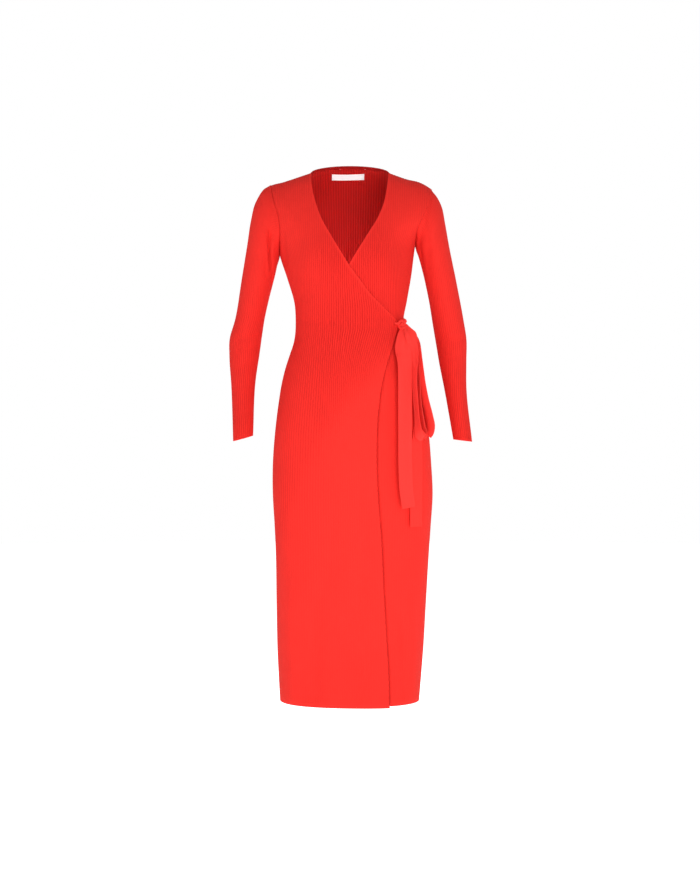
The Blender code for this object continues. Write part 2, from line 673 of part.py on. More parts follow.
def build():
    for obj in list(bpy.data.objects):
        bpy.data.objects.remove(obj)
    red = material("rib_knit", KNIT_RED, 0.8)
    front, back = Surface(-1), Back(Surface(1))
    make_back(back, red)
    make_band(back, red)
    make_label(back, material("label", LABEL_WHITE, 0.6))
    make_over(front, red)
    make_under(front, red)
    make_sleeve("sleeve_right", RIGHT_SLEEVE, -1, red)
    make_sleeve("sleeve_left", LEFT_SLEEVE, 1, red)
    make_side_tie(front, red)
    make_knot(red)
    hung("tail_front", TAIL_FRONT, red, 16)
    hung("tail_back", TAIL_BACK, red, 16)
    hung("loop_front", LOOP_FRONT, red, 34)
    hung("loop_back", LOOP_BACK, red, 34)


build()
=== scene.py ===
import math

import bmesh
import bpy
import numpy as np
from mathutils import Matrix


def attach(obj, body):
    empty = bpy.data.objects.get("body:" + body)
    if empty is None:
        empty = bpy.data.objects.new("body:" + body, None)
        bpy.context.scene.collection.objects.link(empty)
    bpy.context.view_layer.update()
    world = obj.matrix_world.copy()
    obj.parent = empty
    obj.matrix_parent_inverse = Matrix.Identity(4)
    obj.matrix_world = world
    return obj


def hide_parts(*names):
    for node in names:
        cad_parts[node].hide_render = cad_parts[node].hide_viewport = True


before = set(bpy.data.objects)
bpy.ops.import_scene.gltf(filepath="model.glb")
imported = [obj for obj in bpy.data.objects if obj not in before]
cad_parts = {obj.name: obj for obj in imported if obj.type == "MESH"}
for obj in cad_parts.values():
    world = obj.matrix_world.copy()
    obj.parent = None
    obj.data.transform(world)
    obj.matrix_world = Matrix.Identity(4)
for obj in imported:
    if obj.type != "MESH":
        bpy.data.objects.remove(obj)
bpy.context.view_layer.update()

# ---------------------------------------------------------------- studio
# The dress floats at wearing height over a pale matt floor, in white surroundings. A large softbox in front, level
# with the hips, carries the light, and weaker ones beside and behind it keep the sides and the back readable.
FLOOR_Z, FLOOR_RADIUS = -1.46, 9.0
ROOM_STRENGTH, FLOOR_GLOW = 0.48, 0.8
WHITE = (1.0, 1.0, 1.0, 1.0)


def add_object(name, data):
    made = bpy.data.objects.new(name, data)
    bpy.context.scene.collection.objects.link(made)
    return made


camera_data = bpy.data.cameras.new("camera")
camera_data.sensor_width, camera_data.lens = 36.0, 57.41
camera = add_object("camera", camera_data)
camera.location = (0.0, -3.0, -0.5708)
camera.rotation_euler = (math.pi / 2, 0.0, 0.0)
bpy.context.scene.camera = camera
bpy.context.scene.view_settings.view_transform = "Standard"


def add_softbox(name, place, target, width, height, watts, spread=180.0):
    """A rectangular soft light at place that faces target and shines in a cone of spread degrees."""
    lamp = bpy.data.lights.new(name, "AREA")
    lamp.shape, lamp.size, lamp.size_y = "RECTANGLE", width, height
    lamp.energy, lamp.spread = watts, math.radians(spread)
    holder = add_object(name, lamp)
    away = np.array(place, float) - np.array(target, float)
    turn = math.atan2(away[0], -away[1])
    lift = math.atan2(away[2], math.hypot(away[0], away[1]))
    holder.location, holder.rotation_euler = place, (math.pi / 2 - lift, 0.0, turn)
    holder.visible_camera = False
    return holder


add_softbox("front_softbox", (0.45, -1.9, -0.75), (0.08, 0.0, -0.62), 1.2, 1.3, 4.0, spread=60.0)
add_softbox("side_softbox", (-2.3, -1.2, -0.5), (0.0, 0.0, -0.6), 1.2, 1.6, 6.0)
add_softbox("back_softbox", (0.4, 2.6, 0.1), (0.0, 0.0, -0.5), 1.4, 1.4, 26.0)
add_softbox("top_softbox", (0.0, -0.7, 1.4), (0.0, 0.0, -0.1), 1.0, 0.8, 2.4)
neck_softbox = add_softbox("neck_softbox", (0.0, -0.9, -0.4), (0.0, 0.06, -0.36), 0.2, 0.2, 0.62, spread=34.0)


def set_sockets(node, inputs):
    """Sets a node's inputs to values, or links them to a node's first output or to a (node, output) pair."""
    for key, value in inputs.items():
        linked = isinstance(value, tuple) and isinstance(value[0], bpy.types.Node)
        source, output = value if linked else (value, 0)
        if isinstance(source, bpy.types.Node):
            node.id_data.links.new(source.outputs[output], node.inputs[key])
        else:
            node.inputs[key].default_value = value


def add_node(tree, kind, inputs=None, **settings):
    made = tree.nodes.new(kind)
    for key, value in settings.items():
        setattr(made, key, value)
    set_sockets(made, inputs or {})
    return made


def add_mix(tree, share, first, second):
    inputs = {"Factor": share, "A": first, "B": second}
    return add_node(tree, "ShaderNodeMix", inputs, data_type="RGBA"), "Result"


def add_finish(name, **values):
    """A new material with its tree and its shader, whose own sockets are set to values."""
    made = bpy.data.materials.new(name)
    made.use_nodes = True
    shader = made.node_tree.nodes["Principled BSDF"]
    set_sockets(shader, {key.replace("_", " "): value for key, value in values.items()})
    return made, made.node_tree, shader


world = bpy.data.worlds.new("white_room")
world.use_nodes = True
bpy.context.scene.world = world
room = world.node_tree
room_light = room.nodes["Background"]
set_sockets(room_light, {"Color": WHITE, "Strength": ROOM_STRENGTH})
room_seen = add_node(room, "ShaderNodeBackground", {"Color": WHITE})
room_path = add_node(room, "ShaderNodeLightPath")
room_mix = add_node(room, "ShaderNodeMixShader", {"Fac": (room_path, "Is Camera Ray"), 1: room_light, 2: room_seen})
set_sockets(room.nodes["World Output"], {"Surface": room_mix})

floor_matt, tree, shader = add_finish("floor_matt", Roughness=0.9, Emission_Color=WHITE,
                                      Emission_Strength=FLOOR_GLOW)
where = add_node(tree, "ShaderNodeTexCoord")
speckle = add_node(tree, "ShaderNodeTexNoise", {"Vector": (where, "Object"), "Scale": 2.0, "Detail": 4.0})
tone = add_mix(tree, (speckle, "Fac"), (0.90, 0.90, 0.90, 1.0), (0.95, 0.95, 0.95, 1.0))
set_sockets(shader, {"Base Color": tone})

floor_mesh = bpy.data.meshes.new("floor")
shape = bmesh.new()
bmesh.ops.create_circle(shape, cap_ends=True, segments=96, radius=FLOOR_RADIUS)
bmesh.ops.translate(shape, verts=shape.verts, vec=(0.0, 0.0, FLOOR_Z))
shape.to_mesh(floor_mesh)
shape.free()
floor_mesh.materials.append(floor_matt)
floor = add_object("floor", floor_mesh)

# ---------------------------------------------------------------- rib knit
# Bright red viscose and nylon yarn, matt, knitted in fine ribs. The yarn shows as small leaning stitches, four to a
# rib, with a soft fuzz. Its colour is painted darker between the ribs and between the stitches' legs, painted shade
# in the hollows. Where the cloth is stretched flat the ribs almost close up.
RED_CREST = (0.85, 0.0295, 0.0215, 1.0)
# Painted shade: the darker colour that the hollows between the ribs and the stitches take.
RED_GROOVE_SHADE = (0.56, 0.0092, 0.0077, 1.0)
# Painted shade: the same knit made much darker, for the faces inside the dress.
INSIDE_SHADE_CREST = (0.70, 0.0165, 0.0135, 1.0)
INSIDE_SHADE_GROOVE = (0.42, 0.0065, 0.006, 1.0)
# Painted shade: the band's colour, the same knit at about half the brightness.
BAND_SHADE_CREST = (0.43, 0.0095, 0.008, 1.0)
# Painted shadow: the colour of the thin dark bead that lines the crevice beside the wrap edge.
SHADOW_LINE_CREST = (0.46, 0.0085, 0.007, 1.0)
STITCHES_A_RIB, STITCHES_A_MM = 4.0, 1.05
TONE_LOW, TONE_HIGH = 0.965, 1.03  # how uneven the dye is, from stitch to stitch and over the cloth


def add_group(kind, name, inputs, outputs):
    """A node group with its sockets, given as (name, type, value if it has one), and its two end nodes."""
    group = bpy.data.node_groups.new(name, kind)
    for way, sockets in (("INPUT", inputs), ("OUTPUT", outputs)):
        for socket, what, *value in sockets:
            made = group.interface.new_socket(socket, in_out=way, socket_type="NodeSocket" + what)
            if value:
                made.default_value = value[0]
    return group, group.nodes.new("NodeGroupInput"), group.nodes.new("NodeGroupOutput")


def add_math(tree, operation, first, second=0.5):
    return add_node(tree, "ShaderNodeMath", {0: first, 1: second}, operation=operation)


def add_range(tree, value, low, high, start=0.0, end=1.0):
    """Spreads a value that runs from start to end over low to high."""
    limits = {"From Min": start, "From Max": end, "To Min": low, "To Max": high}
    return add_node(tree, "ShaderNodeMapRange", {"Value": value, **limits})


# Stitches: Place is in ribs across and millimetres along. Every stitch is a pair of legs that lean together.
yarn_stitches, given, result = add_group(
    "ShaderNodeTree", "yarn_stitches", (("Place", "Vector"), ("Across", "Float", 4.0), ("Along", "Float", 0.95)),
    (("Height", "Float"), ("Tone", "Float")))
tree = yarn_stitches
split = add_node(tree, "ShaderNodeSeparateXYZ", {0: (given, "Place")})
across = add_math(tree, "MULTIPLY", (split, "X"), (given, "Across"))
along = add_math(tree, "MULTIPLY", (split, "Y"), (given, "Along"))
lean = add_math(tree, "ABSOLUTE", add_math(tree, "SUBTRACT", add_math(tree, "FRACT", across), 0.5))
shifted = add_math(tree, "ADD", along, add_math(tree, "MULTIPLY", lean, 0.9))
bow = add_math(tree, "SINE", add_math(tree, "MULTIPLY", add_math(tree, "FRACT", shifted), math.pi))
leg = add_math(tree, "ABSOLUTE", add_math(tree, "SUBTRACT", lean, 0.25))
leg_hollow = add_math(tree, "POWER", add_math(tree, "MULTIPLY", leg, 4.0), 2.0)
leg_round = add_math(tree, "SUBTRACT", 1.0, leg_hollow)
height = add_math(tree, "MULTIPLY", leg_round, add_math(tree, "POWER", bow, 0.6))
column, course = add_math(tree, "FLOOR", across), add_math(tree, "FLOOR", shifted)
cell = add_node(tree, "ShaderNodeCombineXYZ", {0: column, 1: course})
chance = add_node(tree, "ShaderNodeTexWhiteNoise", {"Vector": cell}, noise_dimensions="2D")
set_sockets(result, {"Height": height, "Tone": (chance, "Value")})

# Fuzz: fibres that stand off the yarn, and the slow uneven tone of a dyed cloth.
yarn_fuzz, given, result = add_group(
    "ShaderNodeTree", "yarn_fuzz", (("Place", "Vector"), ("Fine", "Float", 1400.0), ("Broad", "Float", 9.0)),
    (("Fibre", "Float"), ("Cloud", "Float")))
for output, scale, detail, roughness in (("Fibre", "Fine", 3.0, 0.6), ("Cloud", "Broad", 5.0, 0.55)):
    inputs = {"Vector": (given, "Place"), "Scale": (given, scale), "Detail": detail, "Roughness": roughness}
    set_sockets(result, {output: (add_node(yarn_fuzz, "ShaderNodeTexNoise", inputs), "Fac")})


def knit_finish(name, across, along, crest, groove, ribbed):
    """A knitted finish of across stitches a rib and along stitches a millimetre. ribbed reads how high each place
    stands between two ribs, else stitches alone shade it: the low places turn towards the darker groove colour,
    painted shade in the hollows."""
    made, tree, shader = add_finish(name, Specular_IOR_Level=0.12, Sheen_Weight=0.05, Sheen_Roughness=0.5,
                                    Sheen_Tint=(1.0, 0.25, 0.2, 1.0))
    knit_place = add_node(tree, "ShaderNodeUVMap", uv_map="knit")
    solid_place = add_node(tree, "ShaderNodeTexCoord")
    stitches = add_node(tree, "ShaderNodeGroup", {"Place": (knit_place, "UV"), "Across": across, "Along": along},
                        node_tree=yarn_stitches)
    fuzz = add_node(tree, "ShaderNodeGroup", {"Place": (solid_place, "Object")}, node_tree=yarn_fuzz)
    # Painted shade: the colour turns towards the groove colour where the stitches and the ribs lie low.
    light = add_range(tree, (stitches, "Height"), 0.72, 1.0)
    if ribbed:
        stand = add_node(tree, "ShaderNodeAttribute", attribute_name="crest")
        light = add_math(tree, "MULTIPLY", light, (stand, "Fac"))
    base = add_mix(tree, light, groove, crest)
    uneven = add_range(tree, (fuzz, "Cloud"), TONE_LOW, TONE_HIGH, 0.3, 0.7)
    speck = add_range(tree, (stitches, "Tone"), TONE_LOW, TONE_HIGH)
    tone = add_math(tree, "MULTIPLY", uneven, speck)
    toned = add_node(tree, "ShaderNodeHueSaturation", {"Color": base, "Value": tone})
    rough = add_range(tree, (fuzz, "Fibre"), 0.78, 0.96)
    fluffy = add_math(tree, "ADD", (stitches, "Height"), add_math(tree, "MULTIPLY", (fuzz, "Fibre"), 0.35))
    bump = add_node(tree, "ShaderNodeBump", {"Height": fluffy, "Strength": 0.35, "Distance": 0.00035})
    set_sockets(shader, {"Base Color": toned, "Roughness": rough, "Normal": bump})
    return made


def ribbed_finish(name, crest, groove):
    return knit_finish(name, STITCHES_A_RIB, STITCHES_A_MM, crest, groove, ribbed=True)


rib_knit = ribbed_finish("rib_knit", RED_CREST, RED_GROOVE_SHADE)
shaded_inside_knit = ribbed_finish("shaded_inside_knit", INSIDE_SHADE_CREST, INSIDE_SHADE_GROOVE)
shaded_band_knit = ribbed_finish("shaded_band_knit", BAND_SHADE_CREST, INSIDE_SHADE_GROOVE)
shadow_line_knit = ribbed_finish("shadow_line_knit", SHADOW_LINE_CREST, INSIDE_SHADE_GROOVE)

# ---------------------------------------------------------------- the figure the cloth is cut for
# Sections of the dress's body, front and back, from the hem to the shoulder seams, in millimetres. Both sides share
# the side seams and the armholes, so their cloth meets there.
BODY = (
    # height, middle_x, half_width, front_depth, back_depth
    (-1133, -0.5, 149.0, 97, 94),
    (-1028, 1.0, 156.0, 98, 97),
    (-925, 3.0, 160.0, 100, 102),
    (-808, 5.5, 164.5, 102, 109),
    (-757, 6.0, 167.5, 103, 115),
    (-692, 6.0, 171.5, 104, 124),
    (-628, 4.5, 170.0, 105, 129),
    (-550, 4.0, 163.5, 105, 124),
    (-499, 2.5, 155.5, 104, 113),
    (-447, 1.5, 145.5, 101, 100),
    (-421, 1.0, 138.0, 98, 94),
    (-395, 0.5, 128.5, 95, 88),
    (-370, 0.5, 119.5, 92, 84),
    (-322, 0.0, 114.5, 89, 80),
    (-279, 1.0, 121.0, 91, 84),
    (-228, -2.0, 133.0, 95, 93),
    (-171, -5.6, 145.4, 95, 100),
)
FULLNESS = 2.3
YOKE = (
    # level, front_mid_z, front_mid_depth, back_mid_z, back_mid_depth, squareness
    (0.0, -171, 95, -171, 100, 2.3),
    (0.3, -122, 84, -116, 100, 2.6),
    (0.6, -70, 66, -64, 94, 3.0),
    (0.82, -32, 44, -24, 82, 3.2),
    (0.93, -12, 24, 4, 66, 3.2),
    (1.0, -2, 0, 22, 50, 3.2),
)
ARMHOLE = (
    # level, right_x, right_z, left_x, left_z, front_reach, back_reach
    (0.0, -151.0, -180, 139.8, -161, 0, 0),
    (0.3, -148.5, -141, 142.5, -132, 44, 46),
    (0.6, -152.5, -101, 157.0, -100, 49, 54),
    (0.82, -163.0, -66, 170.0, -67, 36, 41),
    (0.93, -168.0, -43, 174.0, -46, 19, 22),
    (1.0, -169.5, -31, 175.0, -36, 0, 0),
)
BUST_Z, BUST_OUT, BUST_RISE, BUST_WIDE = -203.0, 74.0, 19.0, 50.0
BUST_ABOVE, BUST_BELOW, BUST_BRIDGE = 58.0, 44.0, 0.62
NECK_HALF, NECK_SIDE_Z, NECK_RISE, NECK_BACK = 84.0, -2.0, 24.5, 50.0
HEM_KEY, UNDERARM_KEY, YOKE_SPAN = -1133.0, -171.0, 170.0
UNDERARM_MIDDLE = -5.6  # where the middle of the body lies at the underarms
LIFT_FROM = -236.0  # the rows of the body begin here to turn towards the underarms
NECK_LEVEL = 0.72  # from this level up the yoke bends to the shoulder seams and the neck
SEAM_CURVE = 1.8  # how sharply a row turns up or down towards its seams
SIDE_GAP = 0.03  # half the gap between the front and the back in the side seams
CALM_ROWS, SEAM_STATIONS = 4, 22.0  # how far rows are smoothed, but less and less over the stations next to the seams
SHOULDER_FROM, SHOULDER_OVER = -95.0, 60.0
SHOULDER_ROUND = (
    # x, reach, rise: soft rises and one dip that round the outer shoulders over the tops of the arms
    (-163, 13, 2.2), (-190, 13, 4.4), (149, 20, 4.2), (184, 11, -3.6),
)
STATIONS = 241
ACROSS = np.sin(np.linspace(-math.pi / 2, math.pi / 2, STATIONS))
BODY_KEYS = np.linspace(HEM_KEY, UNDERARM_KEY, 241)[:-1]
LEVELS = np.linspace(0.0, 1.0, 57)
KEYS = np.concatenate([BODY_KEYS, UNDERARM_KEY + YOKE_SPAN * LEVELS])


def smooth(table, at):
    """A table's other columns at values of its first column, on curves with no kink at its rows."""
    rows = np.array(table, float)
    rows = rows[np.argsort(rows[:, 0])]
    keys, values = rows[:, 0], rows[:, 1:]
    slopes = np.gradient(values, keys, axis=0)
    at = np.atleast_1d(at)
    i = np.clip(np.searchsorted(keys, at) - 1, 0, len(keys) - 2)
    span = (keys[i + 1] - keys[i])[:, None]
    t = (at - keys[i])[:, None] / span
    return (
        (2 * t**3 - 3 * t**2 + 1) * values[i]
        + (t**3 - 2 * t**2 + t) * span * slopes[i]
        + (3 * t**2 - 2 * t**3) * values[i + 1]
        + (t**3 - t**2) * span * slopes[i + 1]
    )


def ease(value):
    value = np.clip(value, 0.0, 1.0)
    return value * value * (3 - 2 * value)


def unit(v):
    return v / np.maximum(np.linalg.norm(v, axis=-1, keepdims=True), 1e-9)


def bust(x, z):
    """How far the bust stands out, bridged between its two sides."""
    reach = np.where(z > BUST_Z, BUST_ABOVE, BUST_BELOW)
    side = np.exp(-(((np.abs(x) - BUST_OUT) / BUST_WIDE) ** 2))
    bridged = np.where(np.abs(x) < BUST_OUT, np.maximum(side, BUST_BRIDGE), side)
    return BUST_RISE * bridged * np.exp(-(((z - BUST_Z) / reach) ** 2))


def bulge(square):
    """How full each row is from side to side: 1 in the middle and 0 at the seams."""
    return (1 - np.abs(ACROSS) ** square[:, None]) ** (1 / square[:, None])


def calm(lines, reach):
    """Smooths a stack of lines from row to row. The first and last stay, and so do the seams at both ends."""
    steps = np.arange(-3 * reach, 3 * reach + 1)
    kernel = np.exp(-((steps / reach) ** 2))
    kernel /= kernel.sum()
    pad = len(steps) // 2
    low = 2 * lines[:1] - lines[pad:0:-1]
    high = 2 * lines[-1:] - lines[-2 : -pad - 2 : -1]
    whole = np.concatenate([low, lines, high])
    made = np.zeros_like(lines)
    for k, share in enumerate(kernel):
        made += share * whole[k : k + len(lines)]
    stations = np.arange(STATIONS)
    inner = ease(np.minimum(stations, stations[::-1]) / SEAM_STATIONS)[None, :, None]
    return lines + (made - lines) * inner


def body_shell(facing):
    """The front (-1) or the back (1) as lines of points from the right seam to the left one, with their normals."""
    middle, half, front, back = smooth(BODY, BODY_KEYS).T[:, :, None]
    deep = front if facing < 0 else back
    x = middle + half * ACROSS
    z = np.repeat(BODY_KEYS[:, None], STATIONS, axis=1)
    y = facing * deep * (1 - np.abs(ACROSS) ** FULLNESS) ** (1 / FULLNESS)
    if facing < 0:
        y = y - bust(x - middle, z) * (1 - ACROSS**4)
    hollow = smooth(ARMHOLE, LEVELS)
    right_x, right_z, left_x, left_z, front_reach, back_reach = hollow.T[:, :, None]
    side_z = np.where(ACROSS < 0, right_z, left_z)
    lift = (side_z[0] - UNDERARM_KEY) * np.abs(ACROSS) ** SEAM_CURVE
    z = z + lift * ease((BODY_KEYS - LIFT_FROM) / (UNDERARM_KEY - LIFT_FROM))[:, None]
    body = np.stack([x, y, z], axis=2)

    front_z, front_deep, back_z, back_deep, square = smooth(YOKE, LEVELS).T
    mid_z, deep = (front_z, front_deep) if facing < 0 else (back_z, back_deep)
    mid_z, deep = mid_z[:, None], deep[:, None]
    x = right_x + (left_x - right_x) * (ACROSS + 1) / 2
    side_y = facing * (front_reach if facing < 0 else back_reach)
    y = side_y + (facing * deep - side_y) * bulge(square)
    z = mid_z + (side_z - mid_z) * np.abs(ACROSS) ** SEAM_CURVE
    if facing < 0:
        y = y - bust(x - UNDERARM_MIDDLE * (1 - LEVELS[:, None]), z) * (1 - ACROSS**4)
    yoke = np.stack([x, y, z], axis=2)

    tip = np.where(x[-1] < 0, right_x[-1], left_x[-1])
    out = np.clip((np.abs(x[-1]) - NECK_HALF) / (np.abs(tip) - NECK_HALF), 0, 1)
    arch = np.sqrt(np.clip(1 - (x[-1] / NECK_HALF) ** 2, 0, None)) * (facing > 0)
    top_z = NECK_SIDE_Z + (side_z[-1] - NECK_SIDE_Z) * out + NECK_RISE * arch
    top = np.stack([x[-1], NECK_BACK * arch, top_z], axis=1)
    bend = ease((LEVELS - NECK_LEVEL) / (1 - NECK_LEVEL)) ** 1.5
    yoke = yoke + (top - yoke[-1])[None] * bend[:, None, None]

    lines = calm(np.concatenate([body, yoke]), CALM_ROWS)
    lines[..., 1] = facing * np.maximum(facing * lines[..., 1], SIDE_GAP)
    normals = unit(np.cross(np.gradient(lines, axis=1), np.gradient(lines, axis=0))) * -facing
    return lines, normals


def shoulder_round(points):
    """Raises or lowers points by SHOULDER_ROUND, more and more from SHOULDER_FROM upwards."""
    x, z = points[..., 0], points[..., 2]
    rise = sum(high * np.exp(-(((x - at) / reach) ** 2)) for at, reach, high in SHOULDER_ROUND)
    moved = points.copy()
    moved[..., 2] += rise * ease((z - SHOULDER_FROM) / SHOULDER_OVER)
    return moved


front_lines, front_normals = body_shell(-1)
back_lines, back_normals = body_shell(1)
front_lines, back_lines = shoulder_round(front_lines), shoulder_round(back_lines)

# ---------------------------------------------------------------- back
# One panel of rib knit from side seam to side seam. Ribs run up from the hem and end in the armholes, the shoulder
# seams and the neck band. Broad flutes hang below the hips.
CLOTH, RISE = 1.5, 0.85  # the wall, and how far a rib stands off it
BACK_RIBS = 43  # on each side of the middle
UPRIGHT_OVER = 90.0  # how far above the underarms the ribs have turned straight up
WAIST_SHARE, SKIRT_ROWS, CHEST_ROWS = 0.68, 60, 52  # where the waist is on the way up, and the rows on either side
BACK_PITCH = (
    # height, millimetres a rib
    (-1133, 5.4), (-900, 5.7), (-680, 6.2), (-560, 5.8), (-450, 5.0), (-330, 4.6), (-240, 4.94),
    (-150, 5.1), (-100, 5.32), (-40, 5.6), (-1, 5.7),
)
BAND_HEIGHT, BAND_END = 7.0, 2.5  # the neck band at the middle of the back and at its ends
BACK_STROKES = (
    # line of (x, z), half width, depth: soft troughs (negative) and ridges
    (((-70, -1133), (-66, -900), (-60, -760)), 17, -4.5),
    (((-10, -1133), (-8, -960), (-14, -820)), 14, 3.0),
    (((48, -1133), (50, -880), (44, -720)), 18, -5.0),
    (((104, -1133), (100, -980), (96, -860)), 13, 3.5),
    (((-112, -1133), (-116, -1010), (-112, -900)), 13, 3.0),
    (((-60, -352), (0, -362), (62, -350)), 9, -2.2),
    (((-74, -330), (-10, -338), (40, -332)), 6, 1.4),
    (((-48, -384), (10, -392), (80, -380)), 8, -1.6),
    (((-128, -170), (-104, -204), (-84, -246)), 8, -2.2),
    (((118, -160), (98, -198), (78, -240)), 8, -2.4),
)
BACK_LEVEL = 0.62  # how open the ribs are on the whole
BACK_OPEN = (
    # x, z, reach x, reach z, how much more the ribs open there
    (0, -330, 150, 110, 0.38), (0, -120, 90, 110, 0.4), (0, -1000, 200, 260, -0.3), (-150, -620, 60, 200, -0.2),
)

upright = ease((KEYS - UNDERARM_KEY) / UPRIGHT_OVER)[:, None]  # 1 where the ribs run straight up to the shoulders


def lengths_along(lines):
    """How far each point of a line, or of each line of a stack, lies along it from its first point."""
    steps = np.linalg.norm(np.diff(lines, axis=-2), axis=-1)
    return np.concatenate([np.zeros(steps.shape[:-1] + (1,)), np.cumsum(steps, axis=-1)], axis=-1)


def row_measure(lines):
    """How far each station lies from its row's middle: along the cloth, or straight across where upright is 1."""
    run = lengths_along(lines)
    middle = np.array([np.interp(0.0, row[:, 0], arc) for row, arc in zip(lines, run)])
    return (1 - upright) * (run - middle[:, None]) + upright * lines[..., 0]


def read_rows(grid, stations):
    """A grid's rows read at fractional stations: one row of stations for each of its rows."""
    low = np.clip(np.floor(stations).astype(int), 0, grid.shape[1] - 2)
    share = (stations - low)[..., None]
    rows = np.arange(len(grid))[:, None]
    return grid[rows, low] * (1 - share) + grid[rows, low + 1] * share


def read_columns(grid, places):
    """A grid's columns read at fractional rows: places has one row index for each new row and column."""
    low = np.clip(np.floor(places).astype(int), 0, len(grid) - 2)
    share = (places - low)[..., None]
    columns = np.arange(grid.shape[1])[None, :]
    return grid[low, columns] * (1 - share) + grid[low + 1, columns] * share


def wales(measure, quarters, pitch):
    """The stations of every quarter rib on every row, for a rib pitch that changes from row to row."""
    want = quarters[None, :] / 4 * pitch[:, None]
    return np.array([np.interp(w, m, np.arange(len(m))) for w, m in zip(want, measure)])


def arcs(lines, stations):
    """How far stations lie along their rows from the right seam, and how long each row is."""
    run = lengths_along(lines)
    at = np.array([np.interp(s, np.arange(run.shape[1]), r) for s, r in zip(stations, run)])
    return at, run[:, -1:]


def from_seams(lines, stations, reach):
    """0 at the two seams at the ends of each row, rising to 1 at reach millimetres from them."""
    at, whole = arcs(lines, stations)
    return ease(np.minimum(at, whole - at) / reach)


def read_attribute(tree, name, kind="FLOAT"):
    return add_node(tree, "GeometryNodeInputNamedAttribute", {"Name": name}, data_type=kind), "Attribute"


def store_attribute(tree, geometry, name, value, kind="FLOAT", domain="POINT"):
    inputs = {"Geometry": geometry, "Name": name, "Value": value}
    return add_node(tree, "GeometryNodeStoreNamedAttribute", inputs, data_type=kind, domain=domain)


def end_tree(tree, geometry, given, result):
    """Ends a geometry tree with real meshes in the finish that it is given."""
    real = add_node(tree, "GeometryNodeRealizeInstances", {"Geometry": geometry})
    dressed = add_node(tree, "GeometryNodeSetMaterial", {"Geometry": real, "Material": (given, "Finish")})
    set_sockets(result, {0: dressed})


# The rib relief on a smooth panel: wale counts ribs across it, and depth says how open the ribs are at each place.
raise_ribs, given, result = add_group(
    "GeometryNodeTree", "raise_ribs", (("Panel", "Geometry"), ("Rise", "Float"), ("Finish", "Material")),
    (("Knit", "Geometry"),))
tree = raise_ribs
turn = add_math(tree, "MULTIPLY", read_attribute(tree, "wale"), 2 * math.pi)
wave = add_math(tree, "MULTIPLY_ADD", add_math(tree, "COSINE", turn), 0.5)
wave.inputs[2].default_value = 0.5
lower = add_math(tree, "MULTIPLY", add_math(tree, "SUBTRACT", 1.0, wave), read_attribute(tree, "depth"))
stand = add_math(tree, "SUBTRACT", 1.0, lower)
sink = add_math(tree, "MULTIPLY", add_math(tree, "MULTIPLY", lower, (given, "Rise")), -1.0)
normal = add_node(tree, "GeometryNodeInputNormal")
move = add_node(tree, "ShaderNodeVectorMath", {0: normal, "Scale": sink}, operation="SCALE")
mark = store_attribute(tree, (given, "Panel"), "crest", stand)
end_tree(tree, add_node(tree, "GeometryNodeSetPosition", {"Geometry": mark, "Offset": move}), given, result)


def set_inputs(modifier, **values):
    for item in modifier.node_group.interface.items_tree:
        if item.item_type == "SOCKET" and item.in_out == "INPUT" and item.name in values:
            modifier[item.identifier] = values[item.name]


def plain_mesh(piece):
    """Applies what is on a piece and leaves a plain mesh."""
    bpy.context.view_layer.update()
    seen = piece.evaluated_get(bpy.context.evaluated_depsgraph_get())
    made = bpy.data.meshes.new_from_object(seen)
    made.name = piece.name
    piece.modifiers.clear()
    old = piece.data
    piece.data = made
    bpy.data.meshes.remove(old)
    return piece


def grid_mesh(name, points, wale, along, depth, flip, merge=0.03):
    """A panel from a grid of points in millimetres, rows by columns, with its knit places. Points closer than merge
    millimetres, as where columns run together at a seam, become one."""
    rows, columns = points.shape[:2]
    index = np.arange(rows * columns).reshape(rows, columns)
    a, b, c, d = index[:-1, :-1], index[:-1, 1:], index[1:, 1:], index[1:, :-1]
    faces = np.stack([a, d, c, b] if flip else [a, b, c, d], axis=2).reshape(-1, 4)
    mesh = bpy.data.meshes.new(name)
    mesh.from_pydata((points.reshape(-1, 3) * 0.001).tolist(), [], faces.tolist())
    for key, values in (("wale", wale), ("depth", depth)):
        mesh.attributes.new(key, "FLOAT", "POINT").data.foreach_set("value", np.ravel(values).astype(np.float32))
    corner = np.empty(len(mesh.loops), np.int32)
    mesh.loops.foreach_get("vertex_index", corner)
    places = np.stack([np.ravel(wale)[corner], np.ravel(along)[corner]], axis=1).astype(np.float32)
    mesh.uv_layers.new(name="knit").data.foreach_set("uv", places.ravel())
    if merge:
        shape = bmesh.new()
        shape.from_mesh(mesh)
        bmesh.ops.remove_doubles(shape, verts=shape.verts, dist=merge * 0.001)
        shape.to_mesh(mesh)
        shape.free()
    mesh.shade_smooth()
    return add_object(name, mesh)


def knitted(piece, finish, inside=shaded_inside_knit, thick=CLOTH):
    """Raises the ribs and gives the panel its thickness inwards. Its reverse side takes a much darker finish, painted
    shade for the inside of the dress.
    """
    piece.data.materials.append(finish)
    # The reverse side's darker finish is painted shade.
    piece.data.materials.append(inside)
    ribs = piece.modifiers.new("ribs", "NODES")
    ribs.node_group = raise_ribs
    set_inputs(ribs, Rise=RISE * 0.001, Finish=finish)
    wall = piece.modifiers.new("wall", "SOLIDIFY")
    wall.thickness, wall.offset, wall.use_rim = thick * 0.001, -1.0, True
    wall.material_offset = 1
    return plain_mesh(piece)


